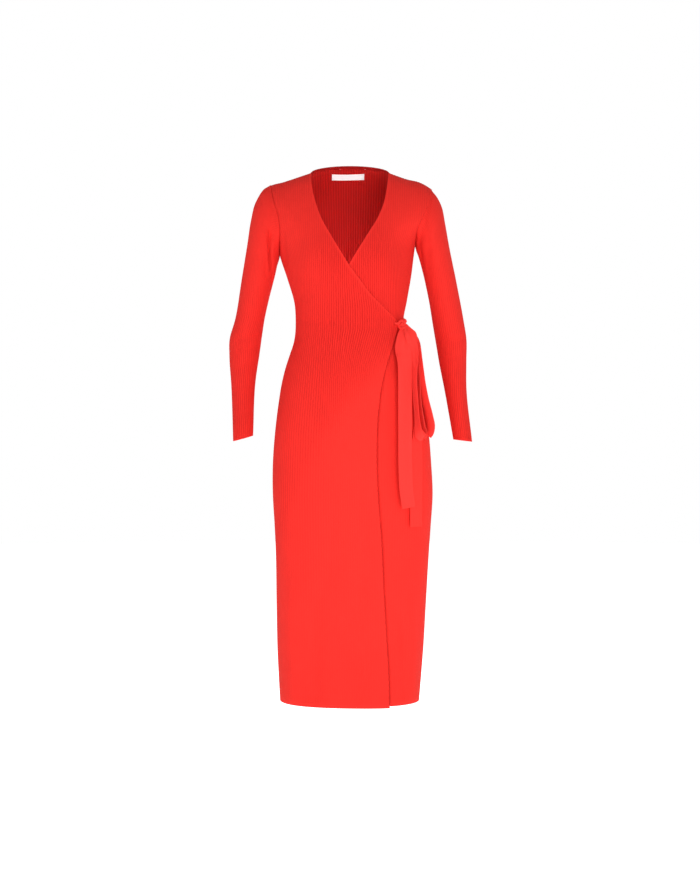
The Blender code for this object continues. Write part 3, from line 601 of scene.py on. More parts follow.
def soft(places, strokes):
    """The sum of listed soft troughs (negative) and ridges (positive), in millimetres: each stroke is a line of
    (across, height) points, a half width and a depth, and dies out towards its ends."""
    total = np.zeros(places.shape[:-1])
    for line, wide, deep in strokes:
        line = np.array(line, float)
        best = np.full(places.shape[:-1], 1e9)
        at = np.zeros(places.shape[:-1])
        lengths = np.linalg.norm(np.diff(line, axis=0), axis=1)
        start = 0.0
        for p, q, length in zip(line, line[1:], lengths):
            t = np.clip(((places - p) @ (q - p)) / length**2, 0, 1)
            gap = np.linalg.norm(places - p - t[..., None] * (q - p), axis=-1)
            closer = gap < best
            at = np.where(closer, start + t * length, at)
            best = np.where(closer, gap, best)
            start += length
        share = at / lengths.sum()
        total += deep * np.exp(-((best / wide) ** 2)) * np.sqrt(np.clip(4 * share * (1 - share), 0, 1))
    return total


def patches(x, z, base, spots):
    """A level that changes over the cloth: base, and soft spots of (x, z, reach x, reach z, amount)."""
    level = np.full(np.shape(x), float(base))
    for at_x, at_z, reach_x, reach_z, amount in spots:
        level += amount * np.exp(-(((x - at_x) / reach_x) ** 2) - (((z - at_z) / reach_z) ** 2))
    return np.clip(level, 0.04, 1.0)


def worn(piece, node, slot="rib_knit", **sheet):
    """Puts a piece on the dress in place of its solid."""
    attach(piece, "root")
    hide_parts(node)


back_quarters = np.arange(-4 * BACK_RIBS, 4 * BACK_RIBS + 1)
back_measure = row_measure(back_lines)
back_pitch = np.interp(KEYS, *np.array(BACK_PITCH).T)
back_stations = wales(back_measure, back_quarters, back_pitch)
back_grid = read_rows(back_lines, back_stations)
back_out = unit(read_rows(back_normals, back_stations))
back_crease = soft(back_grid[..., [0, 2]], BACK_STROKES)[..., None]
back_grid = back_grid + back_out * back_crease * from_seams(back_lines, back_stations, 25.0)[..., None]


def neck_drop(x):
    """How far below the neck edge the band's seam runs."""
    arch = np.sqrt(np.clip(1 - (x / NECK_HALF) ** 2, 0, None))
    return np.where(np.abs(x) < NECK_HALF, BAND_END + (BAND_HEIGHT - BAND_END) * arch, 0.0)


def lowered(grid, drop):
    """The fractional row of each column that lies drop below its top."""
    steps = np.linalg.norm(np.diff(grid, axis=0), axis=2)
    below = np.cumsum(steps[::-1], axis=0)
    rows = len(grid) - 1 - np.arange(1, len(grid))
    return np.array([np.interp(d, np.concatenate([[0], column]), np.concatenate([[len(grid) - 1], rows]))
                     for d, column in zip(drop, below.T)])


back_top = lowered(back_grid, neck_drop(back_grid[-1, :, 0]))
up = np.concatenate([np.linspace(0, WAIST_SHARE, SKIRT_ROWS)[:-1], np.linspace(WAIST_SHARE, 1.0, CHEST_ROWS)])
back_places = up[:, None] * back_top[None, :]
back_points = read_columns(back_grid, back_places)
back_count = read_rows(back_measure[..., None], back_stations) / back_pitch[:, None, None]
back_near = from_seams(back_lines, back_stations, 6.0)[..., None]
back_depth = patches(back_points[..., 0], back_points[..., 2], BACK_LEVEL, BACK_OPEN)
back = grid_mesh("back_panel", back_points, read_columns(back_count, back_places)[..., 0],
                 np.interp(back_places, np.arange(len(KEYS)), KEYS),
                 back_depth * read_columns(back_near, back_places)[..., 0], flip=True)
knitted(back, rib_knit)
worn(back, "back", flat=(0.46, 1.17), held="hung", rests_on=["back_neck_band"], area=0.45)

# ---------------------------------------------------------------- neck band
# A narrow doubled strip of the same knit, sewn over the raw edge of the back neck and turned to the inside. Two
# small tacks of pale thread catch its seam above the label.
BAND_THICK, BAND_ROWS = 2.2, 9
BAND_OVER = 0.3  # how far the band laps over the back's edge
TACKS = (-22.8, 33.6)
TACK_THREAD = (0.93, 0.55, 0.5, 1.0)

neck_columns = np.abs(back_grid[-1, :, 0]) < NECK_HALF
neck_columns = np.convolve(neck_columns, (1, 1, 1), "same") > 0
neck_edge = back_grid[:, neck_columns]
band_lows = lowered(neck_edge, neck_drop(neck_edge[-1, :, 0]) + BAND_OVER)
band_share = np.linspace(0, 1, BAND_ROWS)[:, None]
band_places = band_lows + (len(KEYS) - 1 - band_lows) * band_share
band_points = read_columns(neck_edge, band_places)
band_out = unit(read_columns(back_out[:, neck_columns], band_places))
band_points = band_points + band_out * (0.35 * np.sin(np.pi * band_share))[..., None]
band_along = np.repeat(lengths_along(band_points[-1])[None], BAND_ROWS, axis=0)
band = grid_mesh("back_neck_band", band_points, band_places * 0.7, band_along, np.zeros(band_places.shape),
                 flip=True)
# Both faces of the band take the dark finish, painted shade for where it lies inside the neck.
knitted(band, shaded_band_knit, shaded_band_knit, thick=BAND_THICK)

# Thread stitches along a path, each a short bar that dips into the cloth at both ends.
sew_path, given, result = add_group(
    "GeometryNodeTree", "sew_path",
    (("Path", "Geometry"), ("Spacing", "Float"), ("Length", "Float"), ("Thread", "Float"), ("Finish", "Material")),
    (("Stitches", "Geometry"),))
tree = sew_path
route = add_node(tree, "GeometryNodeMeshToCurve", {"Mesh": (given, "Path")})
spots = add_node(tree, "GeometryNodeResampleCurve", {"Curve": route, "Length": (given, "Spacing")}, mode="LENGTH")
half_length = add_math(tree, "MULTIPLY", (given, "Length"), 0.5)
dip = add_math(tree, "MULTIPLY", (given, "Thread"), -1.2)
first = add_node(tree, "ShaderNodeCombineXYZ", {0: dip, 2: add_math(tree, "MULTIPLY", half_length, -1.0)})
last = add_node(tree, "ShaderNodeCombineXYZ", {0: dip, 2: half_length})
peak = add_node(tree, "ShaderNodeCombineXYZ", {0: add_math(tree, "MULTIPLY", (given, "Thread"), 1.6)})
arch = {"Resolution": 5, "Start": first, "Middle": peak, "End": last}
bar = add_node(tree, "GeometryNodeCurveQuadraticBezier", arch)
circle = add_node(tree, "GeometryNodeCurvePrimitiveCircle", {"Resolution": 6, "Radius": (given, "Thread")})
thread = add_node(tree, "GeometryNodeCurveToMesh", {"Curve": bar, "Profile Curve": circle, "Fill Caps": True})
heading = add_node(tree, "GeometryNodeInputTangent")
outward = read_attribute(tree, "outward", "FLOAT_VECTOR")
turned = add_node(tree, "FunctionNodeAlignRotationToVector", {"Vector": heading}, axis="Z")
faced = add_node(tree, "FunctionNodeAlignRotationToVector", {"Rotation": turned, "Vector": outward}, axis="X",
                 pivot_axis="Z")
sewn = add_node(tree, "GeometryNodeInstanceOnPoints", {"Points": spots, "Instance": thread, "Rotation": faced})
end_tree(tree, sewn, given, result)


def along_path(name, points, outward, tree, **values):
    """What a tree makes along a line of points in millimetres. outward is the way out of the cloth at each."""
    mesh = bpy.data.meshes.new(name)
    mesh.from_pydata((np.asarray(points) * 0.001).tolist(), [(k, k + 1) for k in range(len(points) - 1)], [])
    away = np.broadcast_to(np.asarray(outward, float), np.shape(points)).astype(np.float32)
    mesh.attributes.new("outward", "FLOAT_VECTOR", "POINT").data.foreach_set("vector", away.ravel())
    piece = add_object(name, mesh)
    maker = piece.modifiers.new(tree.name, "NODES")
    maker.node_group = tree
    set_inputs(maker, **values)
    return plain_mesh(piece)


def join(piece, others):
    with bpy.context.temp_override(active_object=piece, object=piece, selected_editable_objects=[piece] + others):
        bpy.ops.object.join()
    return piece


def spun_thread(name, colour):
    """Polyester thread: plies that wind round it, a little shiny."""
    made, tree, shader = add_finish(name, Roughness=0.55)
    where = add_node(tree, "ShaderNodeTexCoord")
    plies = add_node(tree, "ShaderNodeTexWave", {"Vector": (where, "Object"), "Scale": 900.0, "Distortion": 2.0})
    tone = add_mix(tree, (plies, "Fac"), tuple(0.72 * part for part in colour[:3]) + (1.0,), colour)
    bump = add_node(tree, "ShaderNodeBump", {"Height": (plies, "Fac"), "Strength": 0.3, "Distance": 0.0001})
    set_sockets(shader, {"Base Color": tone, "Normal": bump})
    return made


tack_thread = spun_thread("tack_thread", TACK_THREAD)
tacks = []
for at_x in TACKS:
    k = int(np.argmin(np.abs(neck_edge[-1, :, 0] - at_x)))
    away, side = -band_out[1, k], np.array([1.0, 0.0, 0.0])
    seam = band_points[1, k] + away * (BAND_THICK + 0.1)
    tacks.append(along_path("tack", [seam - side, seam + side], away, sew_path, Spacing=0.0012, Length=0.0022,
                            Thread=0.00035, Finish=tack_thread))
join(band, tacks)
worn(band, "neck_band", flat=(0.01, 0.22), held="stretched", rests_on=["back_panel"], area=0.0015)

# ---------------------------------------------------------------- label
# A blank white woven tape, 70 by 13 mm, sewn by its two short ends to the inside of the back below the band. Between
# them it stands off the knit a little.
LABEL_LEFT, LABEL_RIGHT, LABEL_LOW, LABEL_HIGH = -39.6, 31.0, -5.2, 6.2
LABEL_THICK, LABEL_TILT = 0.5, 1.4  # LABEL_TILT is how much higher its end towards the wearer's left lies
LABEL_WEFT, LABEL_WARP = (0.9, 0.89, 0.88, 1.0), (0.98, 0.98, 0.975, 1.0)
LABEL_THREAD = (0.9, 0.88, 0.84, 1.0)
LABEL_COLUMNS, LABEL_ROWS, LABEL_SEAMS = 57, 13, (3, -4)  # the seams run down these columns

# Painted light: the tape glows a little, so that it stays bright white in the shade inside the neck.
glowing_woven_tape, tree, shader = add_finish("glowing_woven_tape", Roughness=0.6, Sheen_Weight=0.1, Emission_Color=WHITE,
                                      Emission_Strength=0.24)
where = add_node(tree, "ShaderNodeTexCoord")
weft, warp = (
    add_node(tree, "ShaderNodeTexWave", {"Vector": (where, "Object"), "Scale": scale, "Distortion": 0.4},
             bands_direction=way)
    for way, scale in (("Z", 620.0), ("X", 520.0))
)
weave = add_math(tree, "MULTIPLY", (weft, "Fac"), (warp, "Fac"))
bump = add_node(tree, "ShaderNodeBump", {"Height": weave, "Strength": 0.4, "Distance": 0.0002})
set_sockets(shader, {"Base Color": add_mix(tree, weave, LABEL_WEFT, LABEL_WARP), "Normal": bump})


def inside_back(x, z, off):
    """The place on the inside of the back at x and z, moved off it towards the front."""
    found = []
    for at_x, at_z in zip(np.ravel(x), np.ravel(z)):
        column = np.array([[np.interp(at_x, row[:, 0], row[:, k]) for k in (1, 2)] for row in back_lines[-80:]])
        below, deep, above = np.interp((at_z - 2, at_z, at_z + 2), column[:, 1], column[:, 0])
        found.append(np.array([at_x, deep, at_z]) + unit(np.array([0.0, -1.0, (above - below) / 4])))
    return np.array(found).reshape(np.shape(x) + (3,)) + np.array([0.0, -1.0, 0.0]) * off[..., None]


label_x, label_z = np.meshgrid(np.linspace(LABEL_LEFT, LABEL_RIGHT, LABEL_COLUMNS),
                               np.linspace(LABEL_LOW, LABEL_HIGH, LABEL_ROWS))
from_end = np.minimum(label_x - LABEL_LEFT, LABEL_RIGHT - label_x)
low_share = (LABEL_HIGH - label_z) / (LABEL_HIGH - LABEL_LOW)
# It stands off the knit between its ends, most along its lower edge, with soft ripples and a bend beside each seam.
ripple = 0.35 * np.sin(label_x / 6.1 + 1.2) * low_share + 0.25 * np.sin(label_x / 13.0)
label_off = 1.6 + (0.9 + ripple) * ease(from_end / 9.0) * (0.35 + 0.65 * low_share) + 0.5 * low_share
label_off = label_off + 0.9 * np.exp(-(((from_end - 4.5) / 2.0) ** 2)) * low_share**3
label_rise = LABEL_TILT * ((label_x - LABEL_LEFT) / (LABEL_RIGHT - LABEL_LEFT) - 0.5)
label_points = inside_back(label_x, label_z + label_rise, label_off)
label = grid_mesh("blank_label", label_points, label_x / 2, label_z, np.zeros(label_x.shape), flip=False, merge=0)
label.data.materials.append(glowing_woven_tape)
tape = label.modifiers.new("tape", "SOLIDIFY")
tape.thickness, tape.offset = LABEL_THICK * 0.001, 1.0
plain_mesh(label)
label_thread = spun_thread("label_thread", LABEL_THREAD)
label_seams = []
for column in LABEL_SEAMS:
    line = label_points[1:-1, column] + np.array([0.0, -LABEL_THICK - 0.12, 0.0])
    label_seams.append(along_path("label_stitches", line, (0.0, -1.0, 0.0), sew_path, Spacing=0.0019, Length=0.0014,
                                  Thread=0.00016, Finish=label_thread))
join(label, label_seams)
worn(label, "label", "label", flat=(0.0706, 0.0132), held="stretched", rests_on=["back_panel"])

# ---------------------------------------------------------------- fronts
# Two rib-knit fronts of the same cut. The wearer's left one goes on first, then the right one laps over it from its
# side seam to the wrap edge. Their edges are knitted on with a thin roll, and the skirt's free edge ripples.
OVER_EDGE = (
    # x, z: from the shoulder along the V to the tie corner, then down the skirt to the hem
    (-84, 0), (-82.5, -30), (-75, -69), (-60, -113), (-39, -152), (-19.5, -186), (0, -217), (18, -240),
    (38, -267), (58, -288), (76.5, -306), (90, -318), (96.5, -327), (97.5, -337), (95.5, -350), (87.5, -379),
    (76, -416), (64.8, -462), (57.8, -514), (54, -597), (56.8, -690), (63.7, -781), (68.7, -892), (74.7, -993),
    (79.5, -1083), (80.5, -1140),
)
UNDER_EDGE = (
    (84, 0), (81, -24), (77.5, -50), (69, -86), (56.5, -115), (39, -144), (23.5, -170), (8, -196),
    (-7, -221), (-26, -245), (-48, -270), (-70, -292), (-86, -312), (-92, -330), (-94, -350), (-98, -400),
    (-108, -500), (-114, -620), (-114, -800), (-110, -1000), (-106, -1140),
)
LAYER = 3.1  # how far the upper front stands off the figure where it lies on the under front
CLIMB_FROM, CLIMB_OVER = -62.0, 58.0  # where it climbs there, measured from the under front's hidden edge
HEM_DROP, CORNER_FROM, CORNER_OVER = 3.0, -1075.0, 55.0  # how much lower its corner hangs, and from where
SINK = 1.0  # how far the under front sinks in below the upper one
EDGE_GROOVE = 3.0  # how far the wrap edge presses into the under front
WAIST_ROW = 196
FREE_BELOW = -352.0  # below the tie corner both wrap edges hang free
ROLL_STEP, ROLL_RADIUS, SHADOW_LINE_RADIUS = 2.0, 0.00092, 0.0007
RIPPLE_LENGTH, SHADOW_LINE_OUT, SHADOW_LINE_IN = 12.6, 1.25, 0.75  # of a ripple; how the dark bead of painted shadow lies beside the roll
FRONT_PITCH = (
    # height, millimetres a rib
    (-1133, 5.3), (-900, 5.6), (-692, 5.8), (-560, 5.6), (-450, 5.1), (-350, 4.64), (-300, 4.6),
    (-210, 4.4), (-171, 4.45), (-90, 4.6), (-1, 4.8),
)
OPEN_BELOW = (
    # x, z of the line below which the skirt is stretched and its ribs close up
    (-170, -860), (-120, -700), (-100, -650), (-52, -555), (-10, -503), (31, -461), (62, -418), (89, -378),
    (110, -350),
)
TIE_PULL = (
    # height, how far the tie draws the upper front's ribs along towards the wrap edge
    (-1133, -6), (-620, -20), (-520, -30), (-460, -30), (-420, -22), (-385, -8), (-345, 6), (-300, 6),
    (-250, 0), (0, 0),
)
PULL_FROM, PULL_OVER = -70.0, 130.0  # where that pull grows, from the right to the left
FRONT_OPEN = (
    # x, z, reach x, reach z, how much more the ribs open there, above that line
    (0, -330, 110, 95, 0.45), (-20, -205, 60, 60, 0.35), (70, -205, 45, 60, 0.25), (-120, -90, 60, 80, -0.28),
    (120, -90, 60, 80, -0.28), (-60, -450, 70, 90, 0.2),
)
SKIRT_OPEN = (
    # the same, below that line
    (-115, -640, 55, 150, 0.22), (128, -740, 30, 150, 0.06), (-60, -820, 60, 160, 0.06),
)
OPEN_LEVEL, CLOSED_LEVEL = 0.55, 0.13  # how open the ribs are above and below that line
BLEND_FROM, BLEND_OVER = -45.0, 85.0  # where one turns into the other, measured up from that line
GROOVE_AT, GROOVE_WIDE = -1.6, 2.6  # that groove's middle, from the wrap edge under it, and its half width
UNDER_RIBS, OVER_RIBS = (-27, 46), (-46, 26)  # the first and last rib of each front, counted from the middle
UNDER_RIPPLE, OVER_RIPPLE = 0.2, 0.55  # how far each edge ripples where it hangs free
FRONT_STROKES = (
    # line of (x, z), half width, depth
    (((-71, -1125), (-70, -1010), (-64, -880)), 14, -4.5),
    (((-120, -1133), (-122, -1000), (-121, -860)), 15, 3.2),
    (((-28, -1133), (-24, -990), (-30, -850)), 17, 2.4),
    (((24, -1133), (22, -1020), (16, -900)), 14, -2.0),
    (((112, -1120), (112, -1030), (107, -930)), 9, -3.6),
    (((134, -1133), (134, -1010), (128, -900)), 10, 2.2),
    (((97, -333), (60, -341), (18, -345)), 7, -1.1),
    (((97, -338), (62, -362), (26, -396)), 9, -1.8),
    (((94, -325), (62, -318), (22, -322)), 7, -0.9),
    (((-112, -322), (-70, -330), (-24, -327)), 8, -1.3),
    (((-112, -352), (-78, -352), (-44, -360)), 7, -1.0),
    (((-143, -128), (-141, -160), (-136, -205)), 5, -2.4),
    (((-151, -96), (-140, -122), (-122, -142)), 9, -1.4),
    (((148, -110), (139, -150), (133, -200)), 6, -2.0),
    (((150, -90), (132, -120), (112, -142)), 9, -1.4),
)


def edge_x(edge, z):
    """Where an edge lies across the front at the heights z."""
    z = np.asarray(z, float)
    rows = [(height, x) for x, height in edge]
    return smooth(rows, np.clip(z.ravel(), edge[-1][1], edge[0][1]))[:, 0].reshape(z.shape)


def edge_stations(edge, side):
    """The station where each row of the front meets a front edge."""
    lines = front_lines if side < 0 else front_lines[:, ::-1]
    room = (edge_x(edge, lines[..., 2]) - lines[..., 0]) * -side
    past = np.argmax(room < 0, axis=1)
    rows = np.arange(len(lines))
    inside, outside = room[rows, past - 1], room[rows, past]
    at = past - 1 + inside / (inside - outside)
    return at if side < 0 else STATIONS - 1 - at


front_measure = row_measure(front_lines)
front_pitch = np.interp(KEYS, *np.array(FRONT_PITCH).T)
front_rows = np.concatenate([np.arange(0, WAIST_ROW, 2), np.arange(WAIST_ROW, len(KEYS))])  # half the skirt's rows


def front_cloth(side, edge, measure, ribs, lift):
    """A front's points with the ribs they lie on, how far the ribs may open, and its edge as a line with normals.
    ribs are its first and last rib, and lift(points) moves it off the surface that both fronts share."""
    limit = edge_stations(edge, side)
    stations = wales(measure, np.arange(4 * ribs[0], 4 * ribs[1] + 1), front_pitch)
    stations = np.minimum(stations, limit[:, None]) if side < 0 else np.maximum(stations, limit[:, None])
    stations = np.concatenate([stations, limit[:, None]], axis=1)
    points = read_rows(front_lines, stations)
    out = unit(read_rows(front_normals, stations))
    at, whole = arcs(front_lines, stations)
    from_seam = at if side < 0 else whole - at
    reach = from_seam[:, -1:]
    near = ease(from_seam / 6.0) * ease((reach - from_seam) / 7.0)
    crease = soft(points[..., [0, 2]], FRONT_STROKES) * ease(from_seam / 25.0)
    moved = points + out * (lift(points) + crease)[..., None]
    if side < 0:
        corner = ease((CORNER_FROM - points[..., 2]) / CORNER_OVER)
        moved[..., 2] -= HEM_DROP * (from_seam / reach) ** 2 * corner
    count = read_rows(measure[..., None], stations)[..., 0] / front_pitch[:, None]
    return moved[:, :-1], count[:, :-1], near[:, :-1], (moved[:, -1], out[:, -1])


def rib_depth(points):
    """How open the ribs are on the fronts."""
    x, z = points[..., 0], points[..., 2]
    high, low = patches(x, z, OPEN_LEVEL, FRONT_OPEN), patches(x, z, CLOSED_LEVEL, SKIRT_OPEN)
    return low + (high - low) * ease((z - np.interp(x, *np.array(OPEN_BELOW).T) - BLEND_FROM) / BLEND_OVER)


# The rolled edge: a bead of knit that follows a path.
roll_edge, given, result = add_group(
    "GeometryNodeTree", "roll_edge", (("Path", "Geometry"), ("Radius", "Float"), ("Finish", "Material")),
    (("Roll", "Geometry"),))
tree = roll_edge
reach = add_node(tree, "GeometryNodeSplineParameter")
route = add_node(tree, "GeometryNodeMeshToCurve", {"Mesh": (given, "Path")})
route = store_attribute(tree, route, "along", add_math(tree, "MULTIPLY", (reach, "Length"), 1000.0))
ring = add_node(tree, "GeometryNodeCurvePrimitiveCircle", {"Resolution": 10, "Radius": (given, "Radius")})
ring = store_attribute(tree, ring, "around", add_math(tree, "MULTIPLY", (reach, "Factor"), 1.4))
bead = add_node(tree, "GeometryNodeCurveToMesh", {"Curve": route, "Profile Curve": ring, "Fill Caps": True})
around, along = read_attribute(tree, "around"), read_attribute(tree, "along")
place = add_node(tree, "ShaderNodeCombineXYZ", {0: around, 1: along})
bead = store_attribute(tree, bead, "knit", place, "FLOAT2", "CORNER")
bead = store_attribute(tree, bead, "crest", 1.0)
end_tree(tree, add_node(tree, "GeometryNodeSetShadeSmooth", {"Geometry": bead}), given, result)


def even_places(line, count):
    """The fractional indices of count places that lie evenly along a line."""
    run = lengths_along(line)
    return np.interp(np.linspace(0, run[-1], count), run, np.arange(len(run)))


def read_line(line, places):
    """A line's points read at fractional indices."""
    return np.stack([np.interp(places, np.arange(len(line)), line[:, k]) for k in range(3)], axis=1)


def edge_roll(name, line, normals, ripple, shaded):
    """The roll along a front's edge. Where the edge hangs free it ripples by that many millimetres, and there a thin
    dark bead, painted shadow in the crevice between the two fronts, lies beside it if shaded is set."""
    places = even_places(line, int(lengths_along(line)[-1] / ROLL_STEP) + 1)
    points, out = read_line(line, places), unit(read_line(normals, places))
    reach = np.arange(len(points)) * ROLL_STEP
    free = ease((FREE_BELOW - points[:, 2]) / 60.0) * ripple
    uneven = 0.75 + 0.25 * np.sin(reach / 23.0)
    wave = np.sin(reach * 2 * math.pi / RIPPLE_LENGTH + 1.3 * np.sin(reach / 37.0)) * uneven
    points = points + out * (-CLOTH / 2 + free * 0.6 * wave)[:, None]
    points[:, 0] += free * np.roll(wave, 2)
    roll = along_path(name, points, out, roll_edge, Radius=ROLL_RADIUS, Finish=rib_knit)
    if shaded:
        # Painted shadow: a thin dark bead in the crevice beside the upper front's wrap edge.
        low = points[:, 2] < FREE_BELOW
        turned = points[low] + np.array([SHADOW_LINE_OUT, 0.0, 0.0]) - out[low] * SHADOW_LINE_IN
        join(roll, [along_path(name, turned, out[low], roll_edge, Radius=SHADOW_LINE_RADIUS, Finish=shadow_line_knit)])
    return roll


def front_piece(name, node, cloth, ripple, shaded=False, **sheet):
    """Knits a front from what front_cloth gives, rolls its edge and puts it on."""
    points, count, near, edge = cloth
    depth = rib_depth(points) * near
    along = np.repeat(KEYS[front_rows, None], points.shape[1], axis=1)
    piece = grid_mesh(name, points[front_rows], count[front_rows], along, depth[front_rows], flip=False)
    knitted(piece, rib_knit)
    join(piece, [edge_roll(name + "_roll", *edge, ripple, shaded)])
    worn(piece, node, held="hung", rests_on=["back_panel"], **sheet)


# Under front, the wearer's left one.
def under_lift(points):
    """It sinks in under the upper front below the V, and that front's edge presses into it below the tie."""
    covered = edge_x(OVER_EDGE, points[..., 2]) - points[..., 0]
    crossed, tied = ease((-200 - points[..., 2]) / 20.0), ease((-345 - points[..., 2]) / 30.0)
    groove = EDGE_GROOVE * np.exp(-(((covered - GROOVE_AT) / GROOVE_WIDE) ** 2)) * tied
    return -SINK * np.clip(covered / 16.0, 0, 1) * crossed - groove


under_cloth = front_cloth(1, UNDER_EDGE, front_measure, UNDER_RIBS, under_lift)
front_piece("under_front", "front_under", under_cloth, UNDER_RIPPLE, flat=(0.36, 1.16), area=0.34)


# Upper front, the wearer's right one. Near the tie its ribs are drawn up along the wrap edge.
def over_lift(points):
    """It climbs onto the under front just before that front's hidden edge."""
    past = points[..., 0] - edge_x(UNDER_EDGE, points[..., 2])
    return LAYER * ease((past - CLIMB_FROM) / CLIMB_OVER)


pull = np.interp(KEYS, *np.array(TIE_PULL).T)[:, None] * ease((front_lines[..., 0] - PULL_FROM) / PULL_OVER)
over_measure = front_measure - pull
over_cloth = front_cloth(-1, OVER_EDGE, over_measure, OVER_RIBS, over_lift)
front_piece("upper_front", "front_over", over_cloth, OVER_RIPPLE, shaded=True, flat=(0.38, 1.17), area=0.35)

# ---------------------------------------------------------------- sleeves
# Two long set-in sleeves of rib knit, each one panel closed by an underarm seam. Ribs run down from the shoulder
# point along the outer side, and the taper is cut off them at the seam. They bend softly at the elbows.
RIGHT_SLEEVE = (
    # outer_x, outer_z, inner_x, inner_z, half_depth, middle_y
    (-187.5, -44, -152.5, -188, 51, 1),
    (-203.5, -68, -156.5, -201, 51, 1),
    (-213.0, -105, -160.0, -217, 48, 2),
    (-220.5, -153, -166.0, -240, 45, 4),
    (-233.0, -228, -174.5, -272, 42, 8),
    (-248.0, -317, -185.5, -322, 39, 12),
    (-259.5, -357, -190.0, -352, 38, 13),
    (-260.0, -395, -195.0, -390, 36, 9),
    (-255.0, -458, -202.5, -447, 32, -3),
    (-248.5, -578, -206.0, -566, 28, -33),
)
LEFT_SLEEVE = (
    # as for the right sleeve
    (187.0, -52, 142.5, -169, 51, 1),
    (198.0, -78, 147.0, -181, 51, 1),
    (204.0, -108, 151.5, -196, 48, 2),
    (213.0, -158, 158.5, -223, 45, 4),
    (229.0, -235, 170.0, -275, 42, 8),
    (245.0, -318, 179.5, -332, 39, 12),
    (251.5, -360, 186.0, -370, 38, 13),
    (251.0, -402, 192.0, -408, 36, 9),
    (250.0, -462, 202.5, -466, 32, -3),
    (259.5, -579, 219.5, -574, 28, -33),
)
ARMHOLE_TURNS = (
    # share of the way round the armhole, its level: up the front, and down the back the same way
    (0.0, 0.0), (0.1, 0.3), (0.2, 0.6), (0.3, 0.82), (0.4, 0.93), (0.5, 1.0),
)
SLEEVE_PITCH = ((0, 4.9), (150, 4.8), (320, 4.7), (560, 4.55))  # millimetres down the arm, millimetres a rib
SLEEVE_OPEN = ((0, 0.3), (60, 0.34), (180, 0.42), (300, 0.62), (430, 0.74), (560, 0.72))  # how open the ribs are
SLEEVE_COLUMNS, SLEEVE_RIBS, CUFF_RADIUS = 361, 43, 0.00088
CAP_REACH, CAP_ROWS, ROW_STEP = 60, 25, 4.4  # the cap has closer rows than the arm below it
ARMHOLE_OUT, ARMHOLE_DEEP = 0.2, 1.2  # how far a sleeve's top stands off the armhole, sideways and in depth
RIGHT_STROKES = (
    # line of (round the arm from its outer line, down the arm), half width, depth: the front of the arm is negative
    (((-124, 30), (-134, 66), (-143, 98), (-150, 136)), 12, -12.5),
    (((-120, 20), (-112, 70), (-100, 130)), 12, -1.8),
    (((-108, 262), (-70, 280), (-30, 284)), 8, -1.8),
    (((-104, 300), (-72, 306), (-40, 300)), 7, -1.5),
    (((-96, 330), (-66, 342), (-34, 350)), 8, -1.3),
    (((20, 290), (60, 282), (96, 290)), 8, -1.6),
    (((110, 20), (120, 70), (128, 120)), 10, -2.4),
    (((-70, 440), (-40, 452), (-12, 450)), 8, -0.9),
    (((10, 400), (40, 420), (64, 470)), 8, -1.0),
)
LEFT_STROKES = (
    # as for the right sleeve
    (((-150, 16), (-142, 60), (-128, 110)), 8, -3.0),
    (((-170, 30), (-160, 72), (-146, 118)), 7, 1.8),
    (((-110, 24), (-100, 80), (-92, 140)), 12, -1.6),
    (((-100, 270), (-64, 286), (-26, 282)), 8, -1.6),
    (((-98, 306), (-66, 316), (-30, 322)), 7, -1.3),
    (((24, 300), (62, 292), (98, 302)), 8, -1.5),
    (((112, 22), (120, 76), (130, 128)), 10, -2.2),
    (((-66, 430), (-40, 446), (-10, 452)), 8, -0.9),
    (((14, 396), (42, 424), (60, 476)), 8, -0.9),
)


def arm_ring(row):
    """A ring round the arm from its inner line, over the front, evenly spaced."""
    outer_x, outer_z, inner_x, inner_z, deep, middle_y = row
    outside, inside = np.array([outer_x, middle_y, outer_z]), np.array([inner_x, middle_y, inner_z])
    angle = np.linspace(0, 2 * math.pi, 721)[:, None]
    ring = (outside + inside) / 2 + (inside - outside) / 2 * np.cos(angle) + np.array([0, -deep, 0]) * np.sin(angle)
    return read_line(ring, even_places(ring, SLEEVE_COLUMNS))


def armhole_loop(side):
    """The armhole from the underarm up the front and down the back, a seam's width out from the body."""
    turn = np.linspace(0, 1, SLEEVE_COLUMNS)
    level = smooth(ARMHOLE_TURNS, np.minimum(turn, 1 - turn))[:, 0]
    right_x, right_z, left_x, left_z, front, back = smooth(ARMHOLE, level).T
    x, z = (right_x, right_z) if side < 0 else (left_x, left_z)
    y = np.where(turn < 0.5, -front, back) - ARMHOLE_DEEP * np.sin(2 * math.pi * turn)
    return shoulder_round(np.stack([x, y, z], axis=1)) + np.array([ARMHOLE_OUT * side, 0.0, 0.0])


